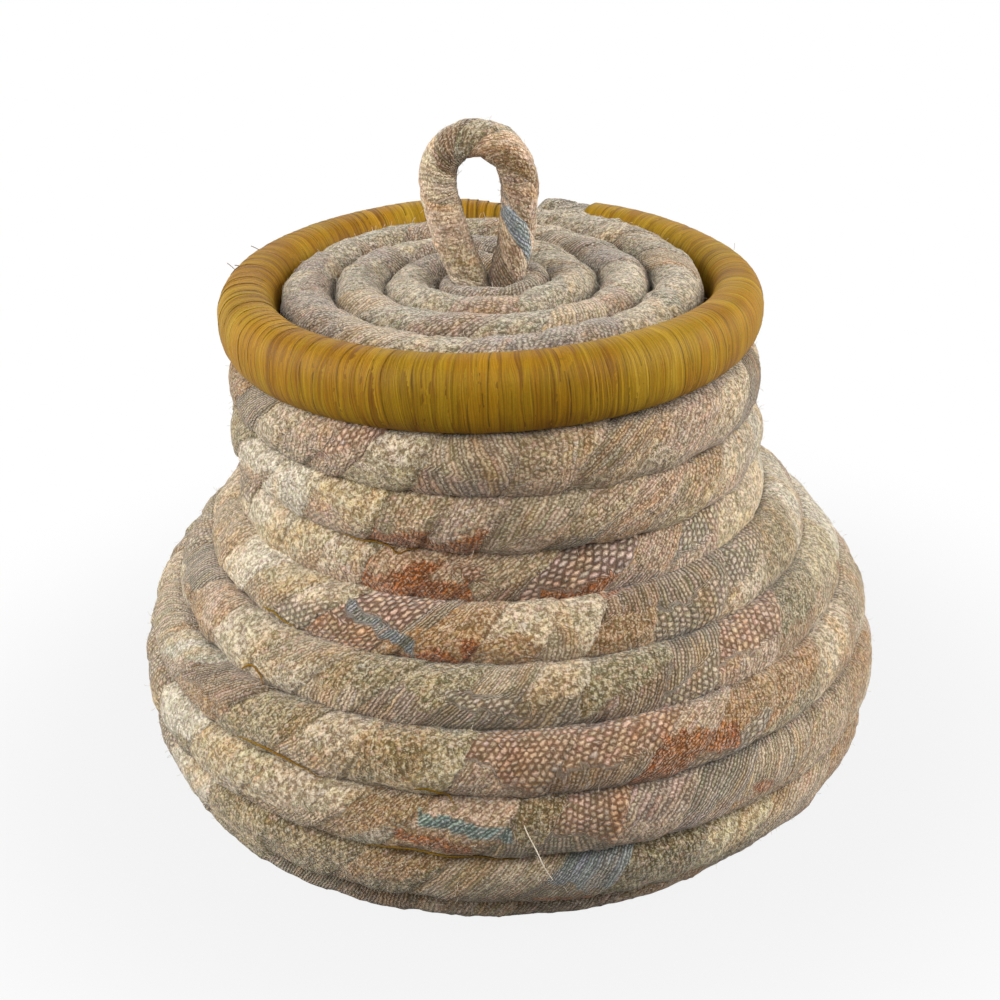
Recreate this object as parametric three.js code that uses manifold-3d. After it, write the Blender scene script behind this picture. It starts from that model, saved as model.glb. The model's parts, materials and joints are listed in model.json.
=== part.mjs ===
// Lidded coiled basket of fabric-wrapped cord, whose coiled lid has a raffia-wrapped rim and a loop handle.
// Millimetres, +Z up. The origin is the middle of the base on the surface that the basket stands on.
import * as THREE from "three";
import { mergeVertices } from "three/addons/utils/BufferGeometryUtils.js";
import Module from "manifold-3d";

// Cords, across the wrapping
const bodyCord = 15.2;
const lidCord = 13.2;
const taperedStartCord = 6.4;
const rimWidth = 16.4;
const rimHeight = 19.6;
const handleCord = 11.4;
const handleFootCord = 8.6;

// Clearances
const turnGap = 0.8;
const lidTurnGap = 0.6;
const spliceGap = 0.4;
const seatGap = 0.3;
const eyeClearance = 0.5;
const mouthClearance = 2.5;

// Basket: radii to the middle of the cord, heights above the ground
const baseStartRadius = 8.8;
const baseStartShare = 0.7;
const bellyRadius = 100.4;
const bellyHeight = 33;
const bellyArc = 51;
const shoulderArc = 41;
const shoulderAngle = THREE.MathUtils.degToRad(41);
const neckRadius = 67.3;
const rimLevel = 128.3;
const neckLean = 1.5;
const footCut = bodyCord / 10;
const thinnestCord = 5;

// Lid and handle
const rimInset = 0.3;
const lidDrop = 1.2;
const tailOffset = 4.5;
const tailEndShare = 0.7;
const jogShare = 0.85;
const handleRise = 51.5;
const handleSpread = 21.6;
const handleFootSpacing = 9.8;
const handleLean = 2.6;
const handleNeckShare = 0.55;
const handleNeckHeight = 7;
const handleStraight = 5;
const handleGrowth = 12;

// Angles seen from above, from +X towards +Y: the basket's cord rises clockwise, the lid's grows counterclockwise
const rimEndAngle = THREE.MathUtils.degToRad(60);
const spliceAngle = THREE.MathUtils.degToRad(90);
const eyeStartAngle = THREE.MathUtils.degToRad(-90);
const jogStartAngle = THREE.MathUtils.degToRad(20);
const jogEndAngle = THREE.MathUtils.degToRad(140);
const swingStartAngle = THREE.MathUtils.degToRad(40);
const raffiaStartAngle = THREE.MathUtils.degToRad(108);
const rimTaperAngle = THREE.MathUtils.degToRad(38);
const raffiaEndAngle = THREE.MathUtils.degToRad(60);
const tailEndAngle = THREE.MathUtils.degToRad(78);

// Facets
const turnSteps = 24;
const cordSides = 6;
const rimSteps = 48;
const tailSteps = 3;
const handleSteps = 40;
const roundSides = 12;

const TURN = 2 * Math.PI;
const bodyRadius = bodyCord / 2;
const lidRadius = lidCord / 2;
const pitch = bodyCord + turnGap;
const seatHeight = bodyRadius - footCut;
const bisections = 40;

const wasm = await Module();
wasm.setup();

function solidOf(geometry) {
  const bare = new THREE.BufferGeometry().setAttribute("position", geometry.getAttribute("position"));
  bare.setIndex(geometry.index);
  const merged = mergeVertices(bare, 1e-4);
  return new wasm.Manifold(
    new wasm.Mesh({
      numProp: 3,
      vertProperties: new Float32Array(merged.attributes.position.array),
      triVerts: new Uint32Array(merged.index.array),
    }),
  );
}

function geometryOf(solid) {
  const mesh = solid.getMesh();
  const positions = new Float32Array(mesh.numVert * 3);
  for (let i = 0; i < mesh.numVert; i += 1) {
    positions.set(mesh.vertProperties.subarray(i * mesh.numProp, i * mesh.numProp + 3), i * 3);
  }
  return new THREE.BufferGeometry()
    .setAttribute("position", new THREE.BufferAttribute(positions, 3))
    .setIndex(new THREE.BufferAttribute(mesh.triVerts, 1));
}

// Direction of the cord at each station, from its neighbours where it has none yet
function directed(stations) {
  return stations.map((station, k) => {
    const before = stations[Math.max(k - 1, 0)].at;
    const after = stations[Math.min(k + 1, stations.length - 1)].at;
    return { along: after.clone().sub(before).normalize(), ...station };
  });
}

// A closed cord through stations: half is half its width and halfUp half its height, where that differs
function cordGeometry(stations, sides, sideways) {
  const rings = directed(stations).map((station) => {
    const { along } = station;
    const across = sideways ? sideways.clone() : along.clone().cross(new THREE.Vector3(0, 0, 1)).normalize();
    const up = across.clone().cross(along).normalize();
    return Array.from({ length: sides }, (_, i) => {
      const angle = Math.PI / 2 + (i * TURN) / sides;
      return station.at
        .clone()
        .addScaledVector(across, station.half * Math.cos(angle))
        .addScaledVector(up, (station.halfUp ?? station.half) * Math.sin(angle));
    });
  });
  const positions = rings.flat().flatMap((p) => p.toArray());
  const faces = [];
  for (let k = 0; k + 1 < rings.length; k += 1) {
    for (let i = 0; i < sides; i += 1) {
      const a = k * sides + i;
      const b = k * sides + ((i + 1) % sides);
      faces.push(a, a + sides, b, b, a + sides, b + sides);
    }
  }
  const last = (rings.length - 1) * sides;
  for (let i = 1; i + 1 < sides; i += 1) {
    faces.push(0, i, i + 1, last, last + i + 1, last + i);
  }
  const geometry = new THREE.BufferGeometry()
    .setAttribute("position", new THREE.Float32BufferAttribute(positions, 3))
    .setIndex(faces);
  return { geometry: outward(geometry), rings };
}

// Turns every face round where the surface came out pointing inwards
function outward(geometry) {
  const p = geometry.attributes.position;
  const index = geometry.index.array;
  const [a, b, c] = [new THREE.Vector3(), new THREE.Vector3(), new THREE.Vector3()];
  let volume = 0;
  for (let i = 0; i < index.length; i += 3) {
    a.fromBufferAttribute(p, index[i]);
    b.fromBufferAttribute(p, index[i + 1]);
    c.fromBufferAttribute(p, index[i + 2]);
    volume += a.dot(b.cross(c));
  }
  if (volume < 0) {
    for (let i = 0; i < index.length; i += 3) {
      [index[i + 1], index[i + 2]] = [index[i + 2], index[i + 1]];
    }
  }
  return geometry;
}

// Least distance between points of the cord's skin that lie half a turn or more apart along it
function leastGap(rings, stepsPerTurn) {
  const middle = (ring, i) => ring[i].clone().lerp(ring[(i + 1) % ring.length], 0.5);
  const skin = rings.map((ring) => ring.flatMap((p, i) => [p, middle(ring, i)]));
  let least = Infinity;
  for (let k = 0; k < skin.length; k += 1) {
    for (let m = k + Math.ceil(stepsPerTurn / 2); m < skin.length; m += 1) {
      if (rings[k][0].distanceTo(rings[m][0]) > 2 * pitch) continue;
      for (const p of skin[k]) {
        for (const q of skin[m]) least = Math.min(least, p.distanceTo(q));
      }
    }
  }
  return least;
}

function reportGap(name, rings, stepsPerTurn) {
  const gap = leastGap(rings, stepsPerTurn);
  console.log(name + ": least gap between its own turns " + gap.toFixed(2) + " mm");
}

// Side profile that the basket's cord follows: flat base, belly with one arc below its widest place and a tighter one
// above it, straight shoulder, upright neck
function basketProfile() {
  const heel = -Math.asin((bellyHeight - seatHeight) / bellyArc);
  const heelRadius = bellyRadius - bellyArc * (1 - Math.cos(heel));
  const shoulder = new THREE.Vector2(
    bellyRadius - shoulderArc * (1 - Math.cos(shoulderAngle)),
    bellyHeight + shoulderArc * Math.sin(shoulderAngle),
  );
  const neckFoot = shoulder.y + (shoulder.x - neckRadius) / Math.tan(shoulderAngle);
  const path = new THREE.Path();
  path.moveTo(baseStartRadius, seatHeight);
  path.lineTo(heelRadius, seatHeight);
  path.absarc(bellyRadius - bellyArc, bellyHeight, bellyArc, heel, 0, false);
  path.absarc(bellyRadius - shoulderArc, bellyHeight, shoulderArc, 0, shoulderAngle, false);
  path.lineTo(neckRadius, neckFoot);
  path.lineTo(neckRadius, rimLevel + 2 * pitch);
  const length = path.getLength();
  return { heelLength: heelRadius - baseStartRadius, at: (s) => path.getPoint(Math.min(s / length, 1)) };
}

// Place along the profile that lies one pitch away from the place s, on the side of the mouth
function nextTurn(profile, s) {
  const from = profile.at(s);
  let low = s + 0.9 * pitch;
  let high = s + 2 * pitch;
  for (let i = 0; i < bisections; i += 1) {
    const middle = (low + high) / 2;
    if (profile.at(middle).distanceTo(from) < pitch) low = middle;
    else high = middle;
  }
  return high;
}

// Stations of the whole basket cord, from the middle of the base to its tapered end on the rim
function basketStations() {
  const profile = basketProfile();
  const places = [];
  for (let k = 0; profile.at(places[k - 1] ?? 0).y + bodyRadius < rimLevel; k += 1) {
    places.push(k < turnSteps ? (pitch * k) / turnSteps : nextTurn(profile, places[k - turnSteps]));
  }
  const rows = places.map((s) => ({ s, r: profile.at(s).x, z: profile.at(s).y, half: bodyRadius }));
  const top = rows[rows.length - 1];
  top.z = rimLevel - bodyRadius;
  for (;;) {
    const below = rows[rows.length - turnSteps];
    const half = (rimLevel - (below.z + below.half) - turnGap) / 2;
    if (2 * half < thinnestCord) break;
    rows.push({ s: below.s + pitch, r: neckRadius, z: rimLevel - half, half });
  }
  const lastStep = rows.length - 1;
  const stations = rows.map(({ s, r, z, half }, k) => {
    const angle = rimEndAngle + ((lastStep - k) * TURN) / turnSteps;
    const lean = neckLean * THREE.MathUtils.clamp((z - bellyHeight) / (rimLevel - bellyHeight), 0, 1);
    const start = k === 0 ? baseStartShare : 1;
    return {
      at: new THREE.Vector3(r * Math.cos(angle) - lean, r * Math.sin(angle), z),
      half: half * start,
      angle,
      onBase: s < profile.heelLength,
    };
  });
  return directed(stations);
}

// Direction away from the middle at an angle
function radial(angle) {
  return new THREE.Vector3(Math.cos(angle), Math.sin(angle), 0);
}

// Direction of a level circle that is followed counterclockwise, at an angle
function circleDirection(angle) {
  return new THREE.Vector3(-Math.sin(angle), Math.cos(angle), 0);
}

// Shortens a cord at its ends, so that two lengths meet face to face with a gap
function trimmed(stations, atStart, atEnd) {
  const cut = directed(stations).map((station) => ({ ...station, at: station.at.clone() }));
  const last = cut[cut.length - 1];
  if (atStart) cut[0].at.addScaledVector(cut[0].along, spliceGap / 2);
  if (atEnd) last.at.addScaledVector(last.along, -spliceGap / 2);
  return cut;
}

// The whole cord in four lengths that meet behind the basket: base, belly, shoulder and neck
function basketLengths() {
  const stations = basketStations();
  const behind = stations
    .map(({ angle }, k) => ({ k, off: Math.abs(THREE.MathUtils.euclideanModulo(angle - spliceAngle, TURN)) }))
    .filter(({ off }) => Math.min(off, TURN - off) < TURN / turnSteps / 2)
    .map(({ k }) => k);
  const heel = behind.find((k) => !stations[k].onBase);
  const splices = [0, heel, heel + 2 * turnSteps, heel + 5 * turnSteps, stations.length - 1];
  return ["base_coil", "belly_coil", "shoulder_coil", "neck_coil"].map((name, i) => ({
    name,
    stations: trimmed(stations.slice(splices[i], splices[i + 1] + 1), i > 0, i < 3),
  }));
}

const rimRadius = neckRadius - rimInset;
const rimCentre = rimLevel + seatGap + rimHeight / 2;
const lidCentre = rimCentre - lidDrop;

// Whole turns that fill the lid from the eye, which takes the handle's feet, to the rim, and their pitch
const eyeRadius = handleFootSpacing / 2 + handleFootCord / 2 + eyeClearance;
const firstEdge = eyeRadius + taperedStartCord;
const lastEdge = rimRadius - rimWidth / 2 - lidTurnGap;
const lidTurns = Math.floor((lastEdge - firstEdge) / (lidCord + lidTurnGap));
const lidPitch = (lastEdge - firstEdge) / lidTurns;

// Radius and half thickness of the lid's cord at a number of turns: nearly round, it steps out behind the handle
function lidSpiral(turns) {
  const whole = Math.floor(turns);
  const jog = THREE.MathUtils.smoothstep((turns - whole) * TURN, jogStartAngle, jogEndAngle);
  const outerEdge = firstEdge + lidPitch * ((1 - jogShare) * turns + jogShare * (whole + jog));
  const grown = THREE.MathUtils.smoothstep(turns * TURN, jogStartAngle, jogEndAngle);
  const half = THREE.MathUtils.lerp(taperedStartCord, lidCord, grown) / 2;
  return { half, radius: outerEdge - half };
}

// Stations of the lid's fabric cord: round the eye, out in a spiral, then out to the rim's own circle
function lidStations() {
  const lastTurn = lidTurns + raffiaStartAngle / TURN;
  const swingStart = lidTurns + swingStartAngle / TURN;
  const firstTurn = eyeStartAngle / TURN;
  const count = Math.round((lastTurn - firstTurn) * turnSteps);
  const stations = Array.from({ length: count + 1 }, (_, k) => {
    const turns = THREE.MathUtils.lerp(firstTurn, lastTurn, k / count);
    const { half, radius } = lidSpiral(Math.min(turns, swingStart));
    const swing = THREE.MathUtils.smoothstep(turns, swingStart, lastTurn);
    const height = THREE.MathUtils.lerp(lidCentre, rimCentre, swing);
    const r = THREE.MathUtils.lerp(radius, rimRadius, swing);
    return { at: radial(turns * TURN).multiplyScalar(r).setZ(height), half };
  });
  stations[count].along = circleDirection(raffiaStartAngle);
  return stations;
}

// A stretch of cord on a level circle, between two angles
function circleStations(radius, height, from, to, steps, half, halfUp) {
  return Array.from({ length: steps + 1 }, (_, k) => {
    const angle = THREE.MathUtils.lerp(from, to, k / steps);
    const at = radial(angle).multiplyScalar(radius).setZ(height);
    return { at, along: circleDirection(angle), half, halfUp };
  });
}

// How far the last turn lies outside the rim's circle, where the turn before it swings out to begin the rim
function tailSwing(angle) {
  return THREE.MathUtils.smoothstep(angle, rimTaperAngle, tailEndAngle);
}

// The raffia-wrapped last turn, which thins to the bare cord before its end
function rimStations() {
  const ends = [raffiaStartAngle, raffiaEndAngle + TURN];
  const stations = circleStations(rimRadius, rimCentre, ...ends, rimSteps, rimWidth / 2, rimHeight / 2);
  return stations.map((station, k) => {
    const angle = THREE.MathUtils.lerp(...ends, k / rimSteps) - TURN;
    const taper = THREE.MathUtils.smoothstep(angle, rimTaperAngle, raffiaEndAngle);
    return {
      ...station,
      at: station.at.clone().addScaledVector(radial(angle), tailOffset * tailSwing(angle)),
      half: THREE.MathUtils.lerp(rimWidth / 2, lidRadius, taper),
      halfUp: THREE.MathUtils.lerp(rimHeight / 2, lidRadius, taper),
    };
  });
}

// The fabric-wrapped end of the last turn, sewn down outside the start of the rim
function tailStations() {
  const stations = circleStations(rimRadius, rimCentre, raffiaEndAngle, tailEndAngle, tailSteps, lidRadius);
  return stations.map((station, k) => {
    const angle = THREE.MathUtils.lerp(raffiaEndAngle, tailEndAngle, k / tailSteps);
    return {
      ...station,
      at: station.at.clone().addScaledVector(radial(angle), tailOffset * tailSwing(angle)),
      half: lidRadius * THREE.MathUtils.lerp(1, tailEndShare, k / tailSteps),
    };
  });
}

// Handle: two legs through the eye of the lid and a round arch above them
function handleStations() {
  const top = rimCentre + handleRise - handleCord / 2;
  const arch = handleSpread / 2;
  const footX = handleFootSpacing / 2;
  const legs = [
    [footX, lidCentre - lidRadius],
    [footX, lidCentre + lidRadius / 2],
    [THREE.MathUtils.lerp(footX, arch, handleNeckShare), lidCentre + lidRadius + handleNeckHeight],
    [arch, top - arch - handleStraight],
  ];
  const archPoints = [0, 30, 60].map((degrees) => {
    const angle = THREE.MathUtils.degToRad(degrees);
    return [arch * Math.cos(angle), top - arch + arch * Math.sin(angle)];
  });
  const right = [...legs, ...archPoints];
  const left = [...right].reverse().map(([x, z]) => [-x, z]);
  const leanAt = (z) => (handleLean * (z - lidCentre)) / (top - lidCentre);
  const points = [...right, [0, top], ...left].map(([x, z]) => new THREE.Vector3(x - leanAt(z), 0, z));
  const curve = new THREE.CatmullRomCurve3(points, false, "centripetal");
  return curve.getSpacedPoints(handleSteps).map((at) => {
    const grown = THREE.MathUtils.smoothstep(at.z, lidCentre, lidCentre + lidRadius + handleGrowth);
    return { at, half: THREE.MathUtils.lerp(handleFootCord, handleCord, grown) / 2 };
  });
}

const paint = (colour, roughness) => new THREE.MeshStandardMaterial({ color: colour, roughness, metalness: 0 });
const wovenBeige = paint(0xb9a892, 0.95);
const wovenSage = paint(0xb4ab92, 0.95);
const wovenRose = paint(0xb39a86, 0.95);
const wovenCream = paint(0xc6b7a0, 0.95);
const lidFabric = paint(0xb3aa9b, 0.95);
const handleFabric = paint(0xab9482, 0.95);
const raffia = paint(0xa87a1c, 0.5);

function piece(name, geometry, material) {
  const mesh = new THREE.Mesh(geometry, material);
  mesh.name = name;
  return mesh;
}

function build() {
  const basket = new THREE.Group();
  const wraps = [wovenSage, wovenBeige, wovenRose, wovenCream];
  const ground = new THREE.BoxGeometry(4 * bellyRadius, 4 * bellyRadius, 2 * bodyCord).translate(0, 0, -bodyCord);
  basketLengths().forEach(({ name, stations }, i) => {
    const { geometry, rings } = cordGeometry(stations, cordSides);
    reportGap(name, rings, turnSteps);
    const cut = solidOf(geometry).subtract(solidOf(ground));
    basket.add(piece(name, geometryOf(cut), wraps[i]));
  });

  const lid = new THREE.Group();
  lid.position.x = -neckLean;
  const fabric = cordGeometry(trimmed(lidStations(), false, true), cordSides);
  reportGap("lid_coil", fabric.rings, turnSteps);
  lid.add(piece("lid_coil", fabric.geometry, lidFabric));
  const rim = cordGeometry(trimmed(rimStations(), true, true), roundSides);
  lid.add(piece("lid_raffia_rim", rim.geometry, raffia));
  const tail = cordGeometry(trimmed(tailStations(), true, false), roundSides);
  lid.add(piece("lid_cord_tail", tail.geometry, lidFabric));
  const locatorRadius = neckRadius - bodyRadius - mouthClearance - lidRadius;
  const locatorHeight = lidCentre - lidCord - lidTurnGap;
  const locator = circleStations(locatorRadius, locatorHeight, 0, TURN, turnSteps, lidRadius);
  lid.add(
    piece("lid_locating_coil", cordGeometry(trimmed(locator, true, true), cordSides).geometry, lidFabric),
  );
  const handle = cordGeometry(handleStations(), roundSides, new THREE.Vector3(0, 1, 0));
  lid.add(piece("lid_handle", handle.geometry, handleFabric));

  const whole = new THREE.Group();
  whole.add(basket, lid);
  const box = new THREE.Box3().setFromObject(whole, true);
  const middle = box.getCenter(new THREE.Vector3());
  whole.position.set(-middle.x, -middle.y, 0);
  return whole;
}

export default build();
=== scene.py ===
"""Looks of a lidded coiled basket: cord wrapped in strips of fabric, and a lid with a raffia-wrapped rim.

It is laid out as an add-on. Metres, +Z up; the basket stands on z = 0 and its front faces -Y.
"""

import json
import math

import bpy
import numpy as np
from mathutils import Matrix, Vector

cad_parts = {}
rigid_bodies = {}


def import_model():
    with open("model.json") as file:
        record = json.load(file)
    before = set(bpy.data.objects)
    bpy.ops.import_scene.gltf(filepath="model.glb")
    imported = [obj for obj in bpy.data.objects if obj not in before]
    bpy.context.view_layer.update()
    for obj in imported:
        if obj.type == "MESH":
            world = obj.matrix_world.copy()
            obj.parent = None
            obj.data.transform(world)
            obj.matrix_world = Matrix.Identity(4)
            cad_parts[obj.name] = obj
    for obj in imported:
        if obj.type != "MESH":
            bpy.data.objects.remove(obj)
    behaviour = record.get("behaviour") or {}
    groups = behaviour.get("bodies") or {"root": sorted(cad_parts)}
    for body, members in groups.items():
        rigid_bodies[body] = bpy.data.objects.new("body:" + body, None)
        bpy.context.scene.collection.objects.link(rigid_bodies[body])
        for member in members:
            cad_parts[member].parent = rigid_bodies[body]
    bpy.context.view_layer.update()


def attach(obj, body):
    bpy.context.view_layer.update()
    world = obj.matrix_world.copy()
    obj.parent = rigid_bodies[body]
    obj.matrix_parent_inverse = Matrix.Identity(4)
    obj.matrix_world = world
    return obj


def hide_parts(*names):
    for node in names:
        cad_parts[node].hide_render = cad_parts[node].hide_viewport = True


bl_info = {
    "name": "Coiled fabric basket",
    "version": (1, 0, 0),
    "blender": (4, 5, 0),
    "location": "3D View > Sidebar > Basket",
    "description": "Dresses a coiled basket's frame in fabric-wrapped cord, raffia and loose fibres",
    "category": "Object",
}

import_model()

MM = 0.001
TURN = 2 * math.pi

# Sizes and angles, most of which the solids share

BODY_CORD = 15.2 * MM
LID_CORD = 13.2 * MM
TURN_GAP = 0.8 * MM
LID_TURN_GAP = 0.6 * MM
SEAT_GAP = 0.3 * MM
EYE_CLEARANCE = 0.5 * MM
MOUTH_CLEARANCE = 2.5 * MM
TAPERED_START_CORD = 6.4 * MM
THINNEST_CORD = 5 * MM
THINNEST_TAIL = 1.8 * MM

BASE_START_RADIUS = 8.8 * MM
BASE_START_SHARE = 0.7
BELLY_RADIUS = 100.4 * MM
BELLY_HEIGHT = 33 * MM
BELLY_ARC = 51 * MM
SHOULDER_ARC = 41 * MM
SHOULDER_ANGLE = math.radians(41)
NECK_RADIUS = 67.3 * MM
RIM_LEVEL = 128.3 * MM
NECK_LEAN = 1.5 * MM
FOOT_CUT = BODY_CORD / 10

RIM_INSET = 0.3 * MM
RIM_WIDTH = 16.4 * MM
RIM_HEIGHT = 19.6 * MM
LID_DROP = -1.8 * MM
ROW_WANDER = 0.3 * MM
RIM_START_SHARE = 0.74
RIM_DIP_SHARE = 0.82
RIM_END_SHARE = 0.9
TAIL_RISE = 2.2 * MM
TAIL_OFFSET = 1.6 * MM
TAIL_END_SHARE = 0.7
TAIL_START_SHARE = 0.9
TAIL_ROUNDING = 4 * MM
JOG_SHARE = 0.85
EYE_RAISE_SHARE = 0.75
TUCKED_SHARES = (0.6, 1.1)
COVERED_THINNING = 0.15
HANDLE_CORD = 11.4 * MM
HANDLE_FOOT_CORD = 8.6 * MM
FOOT_SHARE = 0.94
HANDLE_RISE = 51.5 * MM
HANDLE_SPREAD = 21.6 * MM
HANDLE_FOOT_SPACING = 9.8 * MM
HANDLE_LEAN = 2.6 * MM
HANDLE_NECK_SHARE = 0.55
HANDLE_NECK_HEIGHT = 7 * MM
HANDLE_STRAIGHT = 5 * MM
HANDLE_GROWTH = 12 * MM

RIM_END_ANGLE = math.radians(60)
SPLICE_ANGLE = math.radians(90)
EYE_START_ANGLE = math.radians(-90)
TUCKED_START_ANGLE = math.radians(-212)
JOG_ANGLES = (math.radians(20), math.radians(140))
DIP_ANGLES = (TURN - 1.1, TURN + 0.35)
WANDER_START_TURNS = (0.75, 1.4)
WANDER_END_TURNS = (8.4, 9.0)
SWING_START_ANGLE = math.radians(40)
RAFFIA_START_ANGLE = math.radians(108)
FIRST_WINDING_ANGLE = math.radians(85)
RIM_TAPER_ANGLE = math.radians(38)
RAFFIA_END_ANGLE = math.radians(60)
TAIL_END_ANGLE = math.radians(78)
TAIL_TUCK = math.radians(2)
CORE_REACH = 0.027

TURN_STEPS = 24
FINE_STEPS = 32
SHORTEST_PIECE_STEPS = 40
BODY_RADIUS = BODY_CORD / 2
LID_RADIUS = LID_CORD / 2
PITCH = BODY_CORD + TURN_GAP
SEAT_HEIGHT = BODY_RADIUS - FOOT_CUT
RIM_RADIUS = NECK_RADIUS - RIM_INSET
RIM_CENTRE = RIM_LEVEL + SEAT_GAP + RIM_HEIGHT / 2
LID_CENTRE = RIM_CENTRE - LID_DROP
LID_FIRST_EDGE = HANDLE_FOOT_SPACING / 2 + HANDLE_FOOT_CORD / 2 + EYE_CLEARANCE + TAPERED_START_CORD
LID_LAST_EDGE = RIM_RADIUS - RIM_WIDTH / 2 - LID_TURN_GAP
LID_TURNS = math.floor((LID_LAST_EDGE - LID_FIRST_EDGE) / (LID_CORD + LID_TURN_GAP))
LID_PITCH = (LID_LAST_EDGE - LID_FIRST_EDGE) / LID_TURNS
ORIGIN_SHIFT = np.array([-0.0541, 0.1489, 0.0]) * MM

# Fabrics and colours

# Colours of the raised yarns and of those between them, yarn spacing in mm, ribs 0 to 1, fluff 0 to 1; the
# colour between is partly the yarns' own colour and partly painted shade in the gaps between the raised yarns
FABRICS = {
    "cream": ((214, 193, 158), (166, 144, 111), 1.3, 0.15, 0.7),
    "plain_beige": ((194, 173, 140), (151, 130, 101), 1.0, 0.6, 0.35),
    "sand": ((195, 172, 137), (153, 130, 97), 1.25, 0.25, 0.4),
    "tan": ((180, 148, 104), (147, 113, 73), 1.15, 0.25, 0.5),
    "brown": ((164, 138, 107), (122, 98, 71), 1.0, 0.7, 0.3),
    "rust": ((180, 108, 38), (126, 74, 24), 1.1, 0.4, 0.4),
    "rose_dots": ((194, 162, 132), (145, 112, 86), 1.6, 0.0, 0.15),
    "plum_dots": ((205, 178, 158), (139, 113, 98), 1.8, 0.0, 0.05),
    "pink": ((201, 173, 143), (159, 132, 105), 1.15, 0.35, 0.45),
    "slate": ((150, 156, 157), (110, 114, 115), 1.0, 0.8, 0.25),
    "teal_ribs": ((140, 158, 150), (96, 110, 104), 1.1, 0.9, 0.25),
    "stone": ((172, 154, 127), (129, 113, 91), 1.05, 0.8, 0.15),
    "sage": ((170, 151, 110), (125, 109, 74), 1.15, 0.25, 0.6),
    "olive": ((160, 142, 103), (118, 101, 69), 1.15, 0.15, 0.5),
    "straw": ((211, 191, 146), (168, 147, 107), 1.4, 0.1, 0.75),
    "mauve": ((184, 161, 137), (140, 118, 100), 1.1, 0.65, 0.25),
    "grey_dots": ((187, 171, 145), (140, 124, 102), 1.6, 0.0, 0.15),
    "bobbles": ((216, 195, 160), (164, 143, 110), 2.2, 0.0, 0.7),
    "pale_sage": ((184, 171, 142), (140, 127, 102), 1.2, 0.3, 0.6),
    "pale_mauve": ((172, 156, 138), (128, 113, 99), 1.1, 0.5, 0.4),
    "pale_cream": ((202, 186, 156), (152, 137, 111), 1.3, 0.15, 0.65),
    "dusty_pink": ((182, 156, 131), (140, 117, 95), 1.15, 0.35, 0.4),
    "pale_slate": ((172, 180, 182), (132, 140, 143), 1.0, 0.8, 0.3),
    "light_pink": ((236, 203, 168), (198, 166, 133), 1.15, 0.35, 0.5),
    "light_beige": ((232, 210, 177), (192, 171, 141), 1.1, 0.6, 0.4),
    # Painted light: this palest fabric is laid at both ends of the front rows, where they turn away at the
    # outline, and stands for the pale rim light there
    "fleece": ((229, 216, 189), (185, 170, 143), 1.3, 0.15, 0.7),
}

BODY_MIX = {
    "cream": 6, "plain_beige": 5, "sand": 5, "tan": 3, "brown": 3, "rust": 1, "rose_dots": 2, "plum_dots": 1,
    "pink": 3, "slate": 1, "stone": 3, "sage": 4, "olive": 2, "straw": 2, "mauve": 2, "grey_dots": 2,
    "bobbles": 2,
}
LID_MIX = {"pale_sage": 6, "pale_cream": 5, "pale_mauve": 4, "dusty_pink": 3, "plain_beige": 2, "stone": 1}
HANDLE_MIX = {"light_pink": 4, "light_beige": 3, "sand": 2, "pink": 1}
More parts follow.
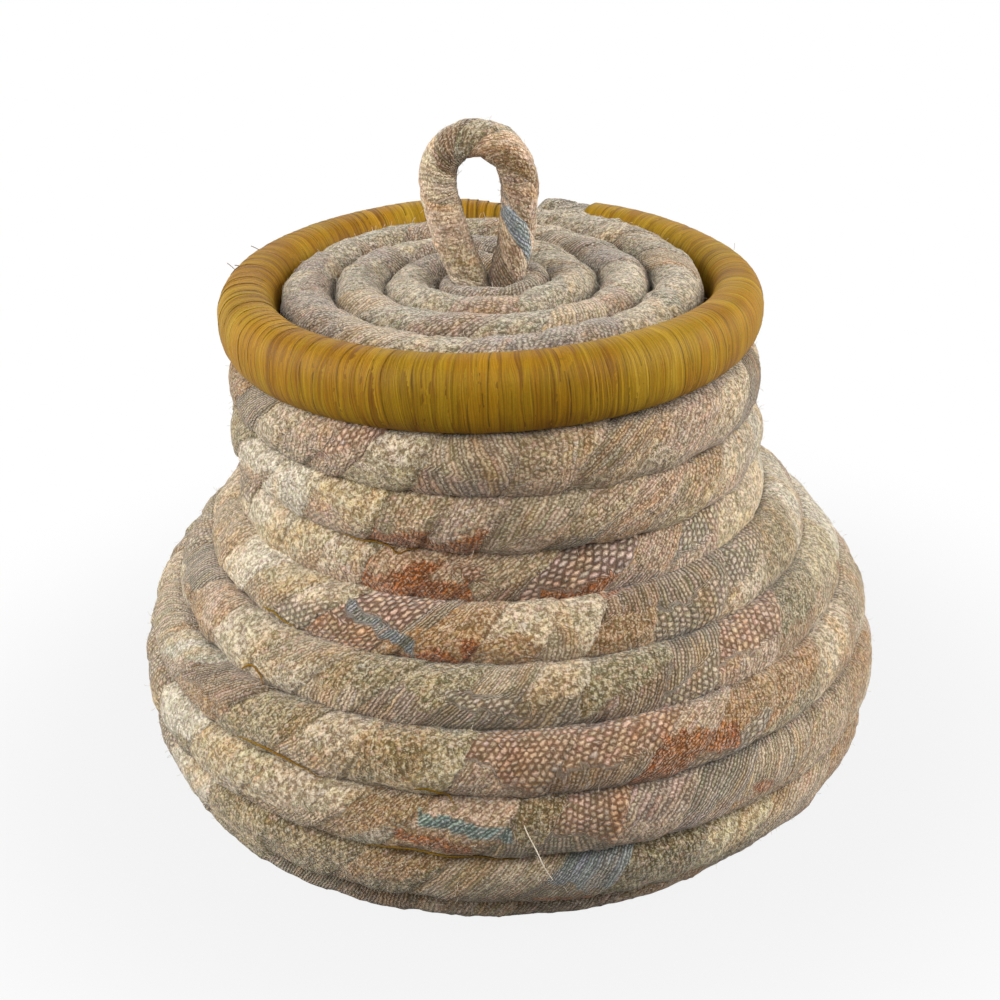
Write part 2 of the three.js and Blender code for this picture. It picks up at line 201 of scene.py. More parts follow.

# Strips placed one by one on the front: turns from the rim's end, fabric, and perhaps a second fabric and the
# share of the row that it fills from below
# The palest strips at both ends of each row are painted light: they stand for the pale rim light where the
# rows turn away at the outline
FRONT_STRIPS = [
    (0.390, "sand", "pink", 0.3), (0.425, "cream"), (0.452, "pink", "sand", 0.35),
    (0.478, "rose_dots", "pink", 0.6), (0.505, "bobbles", "straw", 0.5), (0.545, "plain_beige", "mauve", 0.4),
    (0.590, "sand", "pink", 0.4), (0.632, "plain_beige", "cream", 0.35), (0.668, "pink", "cream", 0.4),
    (0.715, "cream", "pink", 0.3), (0.760, "stone"), (0.800, "cream"),
    (1.385, "fleece", "pink", 0.4), (1.430, "fleece"), (1.470, "straw", "pink", 0.45),
    (1.513, "sand", "rust", 0.35), (1.548, "pink", "rust", 0.35), (1.580, "plain_beige", "pink", 0.35),
    (1.618, "sand", "stone", 0.3), (1.648, "pink", "tan", 0.3), (1.685, "sand", "straw", 0.4),
    (1.722, "cream", "pink", 0.5), (1.775, "fleece"), (1.815, "pink"),
    (2.395, "fleece", "straw", 0.5), (2.440, "straw", "sand", 0.3), (2.476, "cream", "pink", 0.4),
    (2.506, "pink", "rust", 0.6), (2.540, "pink", "rust", 0.35), (2.568, "sand", "brown", 0.3),
    (2.603, "plum_dots", "rust", 0.18), (2.652, "pink", "mauve", 0.3), (2.690, "grey_dots", "pink", 0.4),
    (2.728, "cream", "straw", 0.35), (2.780, "fleece"),
    (3.400, "fleece"), (3.435, "straw", "sand", 0.4), (3.470, "cream", "grey_dots", 0.5),
    (3.492, "plum_dots", "rose_dots", 0.4), (3.536, "stone", "tan", 0.35), (3.547, "tan", "rust", 0.2),
    (3.578, "cream", "tan", 0.35), (3.604, "cream", "plain_beige", 0.3), (3.630, "brown", "tan", 0.5),
    (3.664, "stone", "grey_dots", 0.5), (3.705, "grey_dots", "cream", 0.4), (3.745, "sage"),
    (3.790, "fleece", "pink", 0.4),
    (4.395, "pink", "tan", 0.3), (4.428, "bobbles"), (4.462, "sand", "cream", 0.5),
    (4.500, "sage", "plain_beige", 0.3), (4.530, "sage", "mauve", 0.35),
    (4.562, "plain_beige", "stone", 0.45),
    (4.592, "cream", "stone", 0.3), (4.616, "sage", "brown", 0.35), (4.655, "stone", "grey_dots", 0.4),
    (4.684, "rose_dots", "pink", 0.35), (4.722, "sage", "tan", 0.3), (4.762, "straw", "sand", 0.4),
    (4.810, "fleece"),
    (5.388, "fleece", "pink", 0.4), (5.420, "brown", "tan", 0.4), (5.458, "sage"),
    (5.492, "cream", "sand", 0.4), (5.524, "sage", "straw", 0.35), (5.562, "rose_dots", "pink", 0.3),
    (5.604, "rose_dots", "brown", 0.4), (5.640, "pink", "rust", 0.55), (5.668, "tan", "grey_dots", 0.3),
    (5.698, "tan", "sage", 0.4), (5.732, "cream", "tan", 0.35), (5.775, "sand", "cream", 0.4),
    (5.830, "pink"),
    (6.395, "fleece", "sage", 0.3), (6.432, "straw", "cream", 0.4), (6.470, "bobbles", "sand", 0.4),
    (6.512, "tan", "bobbles", 0.3), (6.541, "pink", "tan", 0.5), (6.576, "olive", "stone", 0.4),
    (6.596, "rose_dots", "stone", 0.4), (6.624, "mauve", "pink", 0.5), (6.648, "stone", "mauve", 0.4),
    (6.676, "plain_beige", "tan", 0.3), (6.708, "sand", "pink", 0.35), (6.750, "tan", "cream", 0.5),
    (6.800, "pink"),
    (7.395, "fleece", "stone", 0.35), (7.436, "sage", "straw", 0.5), (7.474, "olive", "sage", 0.4),
    (7.510, "tan", "olive", 0.5), (7.545, "plain_beige", "brown", 0.35), (7.588, "slate", "stone", 0.55),
    (7.622, "olive", "sage", 0.5), (7.655, "straw", "olive", 0.4), (7.690, "plain_beige", "brown", 0.4),
    (7.730, "tan", "pink", 0.4), (7.780, "sand"),
    (8.400, "sage", "plain_beige", 0.4), (8.446, "stone", "olive", 0.4), (8.490, "brown", "stone", 0.4),
    (8.530, "plain_beige", "brown", 0.4), (8.572, "brown", "mauve", 0.4), (8.614, "tan", "brown", 0.4),
    (8.655, "plain_beige", "olive", 0.4), (8.700, "pink", "sand", 0.4), (8.750, "brown"),
]

# Narrow ribbons in the front strips: turns from the rim's end at both ends, height in the row at both ends
# (-1 bottom, 1 top), half of its width in the same measure, fabric
RIBBONS = [
    (1.530, 1.563, -0.62, -0.82, 0.26, "rust"),
    (2.520, 2.566, -0.22, -0.58, 0.34, "rust"),
    (2.602, 2.622, -0.62, -0.66, 0.20, "rust"),
    (2.555, 2.575, 0.35, 0.10, 0.18, "rose_dots"),
    (3.498, 3.538, 0.30, -0.66, 0.20, "slate"),
    (3.633, 3.652, 0.86, 0.80, 0.08, "rust"),
    (3.549, 3.562, -0.40, -0.60, 0.28, "tan"),
    (4.792, 4.806, -0.70, -0.80, 0.20, "rust"),
    (4.380, 4.425, -0.45, -0.75, 0.20, "tan"),
    (4.556, 4.592, -0.15, -0.45, 0.22, "grey_dots"),
    (5.642, 5.678, -0.05, -0.35, 0.42, "rust"),
    (6.546, 6.581, 0.52, 0.02, 0.22, "teal_ribs"),
    (6.537, 6.566, -0.08, -0.55, 0.22, "rust"),
    (6.680, 6.692, -0.10, -0.30, 0.25, "rust"),
    (7.588, 7.613, -0.45, -0.68, 0.14, "rust"),
    (1.495, 1.515, 0.55, 0.15, 0.20, "straw"),
]

# Strips of the handle in the same way, by the share of its length from the right foot
HANDLE_STRIPS = [
    (0.00, "brown"), (0.07, "light_beige", "pink", 0.4), (0.14, "light_pink", "pale_slate", 0.25),
    (0.20, "light_pink", "pink", 0.4), (0.29, "light_pink", "tan", 0.35),
    (0.36, "light_beige", "light_pink", 0.4), (0.43, "pale_cream", "pale_sage", 0.4),
    (0.50, "plain_beige", "brown", 0.5), (0.57, "light_pink", "light_beige", 0.4),
    (0.66, "light_beige", "light_pink", 0.4), (0.76, "light_pink", "cream", 0.4),
    (0.86, "straw", "light_beige", 0.5), (0.93, "brown"), (1.00, "brown"),
]

# Raffia strands in the seams: turns from the rim's end at both ends, angle down from level, width in mm
SEAM_STRANDS = [
    (1.490, 1.537, 0.93, 1.1), (2.570, 2.612, 1.0, 1.0), (5.462, 5.506, 0.96, 1.1), (6.525, 6.585, 0.95, 1.2),
    (3.448, 3.470, 0.95, 0.9), (5.545, 5.562, 1.0, 0.9), (4.452, 4.472, 1.0, 0.8), (2.655, 2.690, 0.98, 0.8),
    (0.18, 0.23, 0.97, 1.0), (1.95, 2.01, 0.95, 1.0), (3.12, 3.17, 0.96, 1.1), (4.02, 4.08, 0.98, 0.9),
    (5.20, 5.24, 0.95, 1.0), (6.10, 6.15, 0.96, 1.0), (6.93, 6.98, 0.95, 1.1),
]

LID_STRIP_LENGTH = 15 * MM
HANDLE_STRIP_LENGTH = 11 * MM
BODY_SEED, LID_SEEDS, HANDLE_SEED, CORE_SEED, STRAND_SEED = 11, (21, 31, 41), 51, 5, 17

BODY_WRAPS = ["belly_wrap", "shoulder_wrap_1", "shoulder_wrap_2", "neck_wrap_1", "neck_wrap_2"]

# Stray hairs of raffia at the rim: angle in degrees, how steeply they rise, length in mm
STRAY_HAIRS = [(150, 0.9, 5.5), (158, 0.5, 5.0), (163, 1.3, 4.0), (20, 0.6, 3.5)]

# Loose thread at the front, in mm
LOOSE_THREAD = [
    (0.8, -99.5, 40.4), (2.0, -108.2, 38.2), (4.6, -110.6, 33), (6.4, -110.9, 28), (8.4, -109.2, 22.8),
]

# Soft lamps: name, place, watts
LAMPS = [
    ("Left softbox", (-1.1, -0.12, 0.57), 20.0),
    ("Right softbox", (1.1, -0.08, 0.58), 20.2),
    ("Front softbox", (0.0, -1.0, 1.1), 9.3),
    ("Back softbox", (0.0, 1.1, 0.8), 3.5),
]
LAMP_AIM = (0, 0, 0.07)
LAMP_SIZE = 0.9

# The camera, with its focal length as a share of the picture's width
FOCAL_SHARE = 1.8204
SENSOR_WIDTH = 36
CAMERA_PLACE = np.array([0, -479.2, 309.9]) * MM + ORIGIN_SHIFT
CAMERA_TILT = math.radians(25.97)
CAMERA_ROLL = -0.0415
CAMERA_YAW = math.atan(0.0042 / FOCAL_SHARE)


# Settings that a user changes


def size_setting(name, text, size):
    return bpy.props.FloatProperty(name=name, description=text, default=size, unit="LENGTH", precision=5)


def share_setting(name, text, share):
    return bpy.props.FloatProperty(name=name, description=text, default=share, subtype="FACTOR")


def colour_setting(name, text, colour):
    return bpy.props.FloatVectorProperty(
        name=name, description=text, default=colour, subtype="COLOR", size=3, min=0, max=1
    )


class FabricSettings(bpy.types.PropertyGroup):
    """One upholstery fabric of the wrapping."""

    raised: colour_setting("Raised yarns", "Colour of the raised yarns", (0.7, 0.6, 0.5))
    # The colour between the raised yarns is partly their own colour and partly painted shade in the gaps
    between: colour_setting("Yarns between", "Colour of the yarns between them", (0.4, 0.3, 0.2))
    spacing: size_setting("Yarn spacing", "Distance from yarn to yarn", 1.7 * MM)
    ribs: share_setting("Ribs", "0 is a weave of dots, 1 a weave of ribs", 0.2)
    fluff: share_setting("Fluff", "How much the yarns break up into fluff", 0.3)


class BasketSettings(bpy.types.PropertyGroup):
    """Sizes and colours of the basket's finish."""

    cell: size_setting("Skin cell", "Size of the mesh cells of the wrapping", 0.8 * MM)
    press: size_setting("Press", "How far each row is pressed into the next", 0.65 * MM)
    strip_length: size_setting("Strip step", "Length of cord that one turn of a strip covers", 19 * MM)
    strip_slant: share_setting("Strip slant", "How far a strip's edge leans along the cord", 0.72)
    strip_step: size_setting("Overlap", "Height of a strip's edge over the next strip", 0.45 * MM)
    lump_depth: size_setting("Lumps", "Height of the lumps under the wrapping", 1.3 * MM)
    nub_depth: size_setting("Nubs", "Height of the nubs of the yarn", 0.5 * MM)
    winding_step: size_setting("Raffia step", "Distance from one raffia strand to the next", 2.7 * MM)
    raffia: colour_setting("Raffia", "Colour of the raffia", (0.285, 0.15, 0.003))
    # The darker raffia is partly its own darker tone and partly painted shade in its creases
    raffia_dark: colour_setting("Raffia in creases", "Darker raffia", (0.15, 0.065, 0.002))
    fuzz_count: bpy.props.IntProperty(name="Fuzz", description="Fibres on the wrapping", default=9000, min=0)
    fuzz_length: size_setting("Fuzz length", "Mean length of a fibre", 1.5 * MM)
    paper: colour_setting("Backdrop", "Colour of the floor and backdrop", (1, 1, 1))


# Node trees


class Number:
    """A socket that carries a number or a vector, so that shader maths reads as maths."""

    def __init__(self, nodes, socket):
        self.nodes = nodes
        self.socket = socket

    def __add__(self, other):
        return self.nodes.math("ADD", self, other)

    def __sub__(self, other):
        return self.nodes.math("SUBTRACT", self, other)

    def __rsub__(self, other):
        return self.nodes.math("SUBTRACT", other, self)

    def __mul__(self, other):
        return self.nodes.math("MULTIPLY", self, other)

    def __truediv__(self, other):
        return self.nodes.math("DIVIDE", self, other)

    def __rtruediv__(self, other):
        return self.nodes.math("DIVIDE", other, self)

    def __pow__(self, other):
        return self.nodes.math("POWER", self, other)

    __radd__ = __add__
    __rmul__ = __mul__


class Nodes:
    """Adds nodes to a shader or geometry tree."""

    def __init__(self, tree):
        self.tree = tree

    def fill(self, node, sockets):
        """Links or plain values into inputs of a node."""
        for name, value in sockets.items():
            if isinstance(value, Number):
                self.tree.links.new(value.socket, node.inputs[name])
            else:
                node.inputs[name].default_value = value

    def add(self, kind, sockets=None, out=0, **settings):
        """A node with its inputs and settings. Returns its output, or several, or the node itself."""
        node = self.tree.nodes.new(kind)
        for name, value in settings.items():
            setattr(node, name, value)
        self.fill(node, sockets or {})
        if out is None:
            return node
        if isinstance(out, tuple):
            return [Number(self, node.outputs[o]) for o in out]
        return Number(self, node.outputs[out])

    def math(self, operation, *values):
        return self.add("ShaderNodeMath", dict(enumerate(values)), operation=operation)

    def vector(self, operation, *values, out=0):
        return self.add("ShaderNodeVectorMath", dict(enumerate(values)), out, operation=operation)

    def scaled(self, vector, factor):
        return self.add("ShaderNodeVectorMath", {0: vector, "Scale": factor}, operation="SCALE")

    def smooth(self, value, low, high):
        """0 below low, 1 above high and a smooth step between them."""
        sockets = {"Value": value, "From Min": low, "From Max": high}
        return self.add("ShaderNodeMapRange", sockets, interpolation_type="SMOOTHSTEP")

    def colours(self, factor, first, second, blend="MIX"):
        sockets = {0: factor, 6: first, 7: second}
        return self.add("ShaderNodeMix", sockets, 2, data_type="RGBA", blend_type=blend)

    def vectors(self, factor, first, second):
        return self.add("ShaderNodeMix", {0: factor, 4: first, 5: second}, 1, data_type="VECTOR")

    def numbers(self, factor, first, second):
        return self.add("ShaderNodeMix", {0: factor, 2: first, 3: second}, data_type="FLOAT")

    def ramp(self, factor, *stops):
        """A colour off a scale that is given as places and their colours."""
        node = self.add("ShaderNodeValToRGB", {0: factor}, None)
        elements = node.color_ramp.elements
        elements.remove(elements[0])
        for i, (place, colour) in enumerate(stops):
            element = elements.new(place) if i else elements[0]
            element.position = place
            element.color = (*colour, 1)
        return Number(self, node.outputs[0])

    def xyz(self, vector):
        return self.add("ShaderNodeSeparateXYZ", {0: vector}, (0, 1, 2))

    def joined(self, x, y, z):
        return self.add("ShaderNodeCombineXYZ", {0: x, 1: y, 2: z})

    def noise(self, vector, scale, detail=2.0, roughness=0.5, out=0):
        sockets = {"Vector": vector, "Scale": scale, "Detail": detail, "Roughness": roughness}
        return self.add("ShaderNodeTexNoise", sockets, out)

    def attribute(self, name, out="Fac"):
        """An attribute of the mesh, for a shader."""
        return self.add("ShaderNodeAttribute", None, out, attribute_name=name)

    def object_place(self):
        return self.add("ShaderNodeTexCoord", None, "Object")

    def bump(self, strength, height):
        return self.add("ShaderNodeBump", {"Strength": strength, "Distance": 1.0, "Height": height})

    def seen(self):
        """1 where the camera looks, also through a mirror or glass, and 0 for light that bounces."""
        camera, mirror, glass = self.add(
            "ShaderNodeLightPath", None, ("Is Camera Ray", "Is Glossy Ray", "Is Transmission Ray")
        )
        return self.math("MAXIMUM", self.math("MAXIMUM", camera, mirror), glass)


class Shapes(Nodes):
    """Adds nodes that make shapes to a geometry tree."""

    def named(self, name, kind="FLOAT"):
        """An attribute of the points by its name."""
        return self.add("GeometryNodeInputNamedAttribute", {"Name": name}, data_type=kind)

    def stored(self, geometry, name, value, kind="FLOAT"):
        """The geometry with an attribute of its points."""
        sockets = {"Geometry": geometry, "Name": name, "Value": value}
        return self.add("GeometryNodeStoreNamedAttribute", sockets, data_type=kind, domain="POINT")

    def chance(self, low, high, seed):
        """A random number at each point."""
        return self.add("FunctionNodeRandomValue", {2: low, 3: high, "Seed": seed}, 1, data_type="FLOAT")

    def place(self):
        return self.add("GeometryNodeInputPosition")

    def normal(self):
        return self.add("GeometryNodeInputNormal")

    def moved(self, geometry, way, value):
        """The geometry with new positions or an offset."""
        return self.add("GeometryNodeSetPosition", {0: geometry, way: value})

    def facing_line(self, edges):
        """The curve along a mesh of edges, turned to their outward directions."""
        sockets = {
            "Curve": self.add("GeometryNodeMeshToCurve", {0: edges}),
            "Normal": self.named("outward", "FLOAT_VECTOR"),
        }
        return self.add("GeometryNodeSetCurveNormal", sockets, mode="FREE")

    def evenly(self, line, count):
        return self.add("GeometryNodeResampleCurve", {"Curve": line, "Count": count}, mode="COUNT")

    def straight(self, start, end, count):
        return self.evenly(self.add("GeometryNodeCurvePrimitiveLine", {"Start": start, "End": end}), count)

    def circle(self, sides, radius=1.0):
        return self.add("GeometryNodeCurvePrimitiveCircle", {"Resolution": sides, "Radius": radius})

    def rounded(self, squareness, half_width, half_height):
        """Positions that turn a circle into a section between an oval and an oblong."""
        x, y, _ = self.xyz(self.place())
        power = 2 / squareness
        return self.joined(
            self.math("SIGN", x) * self.math("ABSOLUTE", x) ** power * half_width,
            self.math("SIGN", y) * self.math("ABSOLUTE", y) ** power * half_height,
            0.0,
        )

    def swept(self, line, section, caps=True, **more):
        """The skin of a section that runs along a line."""
        sockets = {"Curve": line, "Profile Curve": section, "Fill Caps": caps, **more}
        return self.add("GeometryNodeCurveToMesh", sockets)

    def thick(self, line, section):
        """The skin of a section along a line, scaled by the line's own thickness at each place."""
        return self.swept(line, section, Scale=self.named("thickness"))

    def spread(self, points, shape, rotation, turns, size):
        """A shape at each point, turned, turned further about its own axes, and scaled."""
        further = self.add("FunctionNodeEulerToRotation", {0: turns})
        turned = self.add("FunctionNodeRotateRotation", {0: rotation, 1: further}, rotation_space="LOCAL")
        sockets = {"Points": points, "Instance": shape, "Rotation": turned, "Scale": size}
        return self.add("GeometryNodeInstanceOnPoints", sockets)

    def close(self, geometry, material):
        """Ends the tree in plain smooth faces with their material."""
        plain = self.add("GeometryNodeRealizeInstances", {0: geometry})
        smooth = self.add("GeometryNodeSetShadeSmooth", {0: plain})
        painted = self.add("GeometryNodeSetMaterial", {0: smooth, "Material": material})
        self.add("NodeGroupOutput", {0: painted}, None)
        return self.tree


def geometry_tree(name, inputs):
    """A geometry tree whose inputs have these defaults. Returns its nodes and its input sockets."""
    tree = bpy.data.node_groups.new(name, "GeometryNodeTree")
    for way in ("INPUT", "OUTPUT"):
        tree.interface.new_socket("Geometry", in_out=way, socket_type="NodeSocketGeometry")
    for label, default in inputs.items():
        kind = "NodeSocketInt" if isinstance(default, int) else "NodeSocketFloat"
        tree.interface.new_socket(label, in_out="INPUT", socket_type=kind).default_value = default
    tree.interface.new_socket("Material", in_out="INPUT", socket_type="NodeSocketMaterial")
    nodes = Shapes(tree)
    group = tree.nodes.new("NodeGroupInput")
    return nodes, {socket.name: Number(nodes, socket) for socket in group.outputs if socket.name}


def grown(name, start, tree, values):
    """A new object with the plain mesh that a geometry tree makes of a starting mesh."""
    thing = bpy.data.objects.new(name, start)
    bpy.context.scene.collection.objects.link(thing)
    modifier = thing.modifiers.new("Shape", "NODES")
    modifier.node_group = tree
    for item in tree.interface.items_tree:
        if item.in_out == "INPUT" and item.name in values:
            modifier[item.identifier] = values[item.name]
    depsgraph = bpy.context.evaluated_depsgraph_get()
    made = bpy.data.meshes.new_from_object(
        thing.evaluated_get(depsgraph), preserve_all_data_layers=True, depsgraph=depsgraph
    )
    thing.modifiers.remove(modifier)
    thing.data = made
    made.name = name
    bpy.data.meshes.remove(start)
    return thing


# Arrays


def smoothstep(x, low, high):
    t = np.clip((np.asarray(x, float) - low) / (high - low), 0, 1)
    return t * t * (3 - 2 * t)


def lerp(a, b, t):
    return a + (b - a) * t


def unit(v):
    return v / np.linalg.norm(v, axis=-1, keepdims=True)


def square_to(vectors, along):
    """What is left of vectors without their part along a direction."""
    return vectors - (vectors * along).sum(1, keepdims=True) * along


def lengths(points):
    """The length along a line from its first point to each point."""
    return np.concatenate([[0], np.cumsum(np.linalg.norm(np.diff(points, axis=0), axis=1))])


def interpolated(places, at, values):
    """Values at places between those that they are known at. The values may be rows."""
    if values.ndim == 1:
        return np.interp(places, at, values)
    return np.stack([np.interp(places, at, column) for column in values.T], 1)


def linear(colour):
    """Linear values of a colour that is written in the 0 to 255 of a picture."""
    c = np.asarray(colour, float) / 255
    return np.where(c <= 0.04045, c / 12.92, ((c + 0.055) / 1.055) ** 2.4)


def store(mesh, name, values):
    """A point attribute of a mesh from an array of numbers, vectors or colours."""
    values = np.ascontiguousarray(values, np.float32)
    width = values.shape[-1] if values.size > len(mesh.vertices) else 1
    kind, field = {1: ("FLOAT", "value"), 3: ("FLOAT_VECTOR", "vector"), 4: ("FLOAT_COLOR", "color")}[width]
    attribute = mesh.attributes.get(name) or mesh.attributes.new(name, kind, "POINT")
    attribute.data.foreach_set(field, values.ravel())


def points_of(mesh):
    out = np.zeros(len(mesh.vertices) * 3, np.float32)
    mesh.vertices.foreach_get("co", out)
    return out.reshape(-1, 3).astype(float)


def polylines(name, paths):
    """A mesh of edges along paths, with their outward directions and their thickness."""
    mesh = bpy.data.meshes.new(name)
    edges, first = [], 0
    for path in paths:
        count = len(path["at"])
        edges += [(first + i, first + i + 1) for i in range(count - 1)]
        first += count
    mesh.from_pydata(np.concatenate([path["at"] for path in paths]).tolist(), edges, [])
    for label in ("outward", "thickness"):
        store(mesh, label, np.concatenate([path[label] for path in paths]))
    return mesh


def resampled(path, spacing):
    """The same path with points at an even spacing."""
    length = lengths(path["at"])
    count = max(int(round(length[-1] / spacing)), 2)
    places = np.linspace(0, length[-1], count + 1)
    out = {key: interpolated(places, length, values) for key, values in path.items()}
    out["along"] = places + path["along"][0]
    out["outward"] = unit(out["outward"])
    return out


# Paths of the cords


def basket_profile():
    """Side profile that the basket's cord follows, as a function of the length along it."""
    heel = -math.asin((BELLY_HEIGHT - SEAT_HEIGHT) / BELLY_ARC)
    heel_radius = BELLY_RADIUS - BELLY_ARC * (1 - math.cos(heel))
    top = (
        BELLY_RADIUS - SHOULDER_ARC * (1 - math.cos(SHOULDER_ANGLE)),
        BELLY_HEIGHT + SHOULDER_ARC * math.sin(SHOULDER_ANGLE),
    )
    neck_foot = top[1] + (top[0] - NECK_RADIUS) / math.tan(SHOULDER_ANGLE)
    flat = heel_radius - BASE_START_RADIUS
    widest = flat - BELLY_ARC * heel
    belly = widest + SHOULDER_ARC * SHOULDER_ANGLE
    shoulder = belly + math.hypot(top[0] - NECK_RADIUS, neck_foot - top[1])

    def at(s):
        if s < flat:
            return BASE_START_RADIUS + s, SEAT_HEIGHT
        if s < belly:
            arc = BELLY_ARC if s < widest else SHOULDER_ARC
            angle = (s - widest) / arc
            return BELLY_RADIUS - arc * (1 - math.cos(angle)), BELLY_HEIGHT + arc * math.sin(angle)
        if s < shoulder:
            share = (s - belly) / (shoulder - belly)
            return lerp(top[0], NECK_RADIUS, share), lerp(top[1], neck_foot, share)
        return NECK_RADIUS, neck_foot + s - shoulder

    return at, flat


def next_turn(at, s):
    """Place along the profile that lies one pitch away from the place s."""
    r, z = at(s)
    low, high = s + 0.9 * PITCH, s + 2 * PITCH
    for _ in range(40):
        middle = (low + high) / 2
        if math.dist(at(middle), (r, z)) < PITCH:
            low = middle
        else:
            high = middle
    return high


def basket_path():
    """The basket's cord on the solids' own spiral, in steps of half a degree, and where its lengths meet."""
    at, flat = basket_profile()
    places = []
    while at(places[-1] if places else 0)[1] + BODY_RADIUS < RIM_LEVEL:
        k = len(places)
        places.append(PITCH * k / TURN_STEPS if k < TURN_STEPS else next_turn(at, places[k - TURN_STEPS]))
    rows = [[s, *at(s), BODY_RADIUS] for s in places]
    rows[-1][2] = RIM_LEVEL - BODY_RADIUS
    last = None
    while last is None or 2 * half > THINNEST_TAIL:
        below = rows[-TURN_STEPS]
        half = (RIM_LEVEL - (below[2] + below[3]) - TURN_GAP) / 2
        if 2 * half < THINNEST_CORD and last is None:
            last = len(rows) - 1
        rows.append([below[0] + PITCH, NECK_RADIUS, RIM_LEVEL - half, half])
    rows = np.array(rows)
    end = len(rows) - 1
    fine = np.linspace(0, end, end * FINE_STEPS + 1)
    s, r, z, half = interpolated(fine, np.arange(end + 1), rows).T
    half = np.where(fine < 1, half * lerp(BASE_START_SHARE, 1, fine), half)
    angle = RIM_END_ANGLE + (last - fine) * TURN / TURN_STEPS
    before = np.array([at(max(v - PITCH / 2, 0)) for v in s])
    after = np.array([at(v + PITCH / 2) for v in s])
    up = unit(after - before)
    wander = np.sin(angle * 1.37 + 1.1) + 0.7 * np.sin(angle * 3.41 + 0.4) + 0.5 * np.sin(angle * 7.3)
    turns = (last - fine) / TURN_STEPS
    wander *= ROW_WANDER * smoothstep(turns, *WANDER_START_TURNS) * (1 - smoothstep(turns, *WANDER_END_TURNS))
    r, z = r + up[:, 0] * wander, z + up[:, 1] * wander
    lean = NECK_LEAN * np.clip((z - BELLY_HEIGHT) / (RIM_LEVEL - BELLY_HEIGHT), 0, 1)
    centre = np.stack([r * np.cos(angle) - lean, r * np.sin(angle), z], 1) + ORIGIN_SHIFT
    outward = np.stack([up[:, 1] * np.cos(angle), up[:, 1] * np.sin(angle), -up[:, 0]], 1)
    path = {"at": centre, "outward": outward, "thickness": half / BODY_RADIUS}
    path.update(along=lengths(centre), turns=turns)
    splice = round((last + (RIM_END_ANGLE - SPLICE_ANGLE) * TURN_STEPS / TURN) % TURN_STEPS)
    heel = next(k for k in range(splice, end, TURN_STEPS) if rows[k, 0] >= flat)
    joins = [0, heel, heel + 2 * TURN_STEPS, heel + 5 * TURN_STEPS, end]
    return path, [station * FINE_STEPS for station in joins]


def lid_spiral(turns):
    """Radius and half thickness of the lid's cord at a number of turns."""
    whole = np.floor(turns)
    jog = smoothstep((turns - whole) * TURN, *JOG_ANGLES)
    edge = LID_FIRST_EDGE + LID_PITCH * ((1 - JOG_SHARE) * turns + JOG_SHARE * (whole + jog))
    half = lerp(TAPERED_START_CORD, LID_CORD, smoothstep(turns * TURN, *JOG_ANGLES)) / 2
    return edge - half, half


def circle_points(angle, radius, height):
    """Points of the lid at an angle, radius and height."""
    x = radius * np.cos(angle) - NECK_LEAN
    return np.stack([x, radius * np.sin(angle), height * np.ones_like(angle)], -1) + ORIGIN_SHIFT


def radial(angle):
    return np.stack([np.cos(angle), np.sin(angle), 0 * angle], 1)


def with_length(at, outward, thickness):
    return {"at": at, "outward": unit(outward), "thickness": thickness, "along": lengths(at)}


def lid_path():
    """The lid's fabric cord: round the eye, out in a spiral, then out to the rim."""
    last_turn = LID_TURNS + RAFFIA_START_ANGLE / TURN
    swing_start = LID_TURNS + SWING_START_ANGLE / TURN
    turns = np.linspace(TUCKED_START_ANGLE / TURN, last_turn, 2600)
    radius, half = lid_spiral(np.minimum(turns, swing_start))
    swing = smoothstep(turns, swing_start, last_turn)
    calm = (1 - swing) * smoothstep(turns, 0, 0.3)
    radius = radius + ROW_WANDER * calm * np.sin(turns * TURN * 1.7 + 1)
    wave = np.sin(turns * TURN * 1.23 + 2) + 0.6 * np.sin(turns * TURN * 3.6)
    level = LID_CENTRE + 1.5 * ROW_WANDER * calm * wave
    level = level + EYE_RAISE_SHARE * (LID_RADIUS - half) * (1 - smoothstep(turns, 0.05, 0.3))
    at = circle_points(turns * TURN, lerp(radius, RIM_RADIUS, swing), lerp(level, RIM_CENTRE, swing))
    up = np.tile([0.0, 0.0, 1.0], (len(turns), 1))
    covered = smoothstep((turns - LID_TURNS) * TURN, FIRST_WINDING_ANGLE - 0.05, FIRST_WINDING_ANGLE + 0.1)
    tucked = lerp(*TUCKED_SHARES, smoothstep(turns * TURN, TUCKED_START_ANGLE, EYE_START_ANGLE))
    tucked = lerp(tucked, 1, smoothstep(turns * TURN, *JOG_ANGLES))
    path = with_length(at, up, half / LID_RADIUS * tucked * (1 - COVERED_THINNING * covered))
    path["along"] -= np.interp(EYE_START_ANGLE / TURN, turns, path["along"])
    return path


def tail_swing(angle):
    return smoothstep(angle, RIM_TAPER_ANGLE, TAIL_END_ANGLE)


def rim_path(over=0.0):
    """The raffia-wrapped last turn, with the share of the rim's section that it has at each place."""
    angle = np.linspace(FIRST_WINDING_ANGLE - over, RAFFIA_END_ANGLE + TURN + over, 1600)
    swing = smoothstep(angle, SWING_START_ANGLE, RAFFIA_START_ANGLE)
    inner = lid_spiral(np.array([LID_TURNS + SWING_START_ANGLE / TURN]))[0]
    thin = lerp(1.0, RIM_DIP_SHARE, smoothstep(angle, *DIP_ANGLES))
    thin = lerp(thin, RIM_END_SHARE, smoothstep(angle, DIP_ANGLES[1], TURN + RAFFIA_END_ANGLE - 0.05))
    radius = lerp(inner, RIM_RADIUS, swing) + (1 - thin) * RIM_WIDTH / 2
    radius += TAIL_OFFSET * tail_swing(angle - TURN)
    at = circle_points(angle, radius, lerp(LID_CENTRE, RIM_CENTRE, swing) - (1 - thin) * RIM_HEIGHT / 2)
    young = RIM_START_SHARE + 0.12 * smoothstep(angle, FIRST_WINDING_ANGLE, FIRST_WINDING_ANGLE + 0.18)
    young += 0.14 * smoothstep(angle, FIRST_WINDING_ANGLE, RAFFIA_START_ANGLE)
    return with_length(at, radial(angle), thin * young)


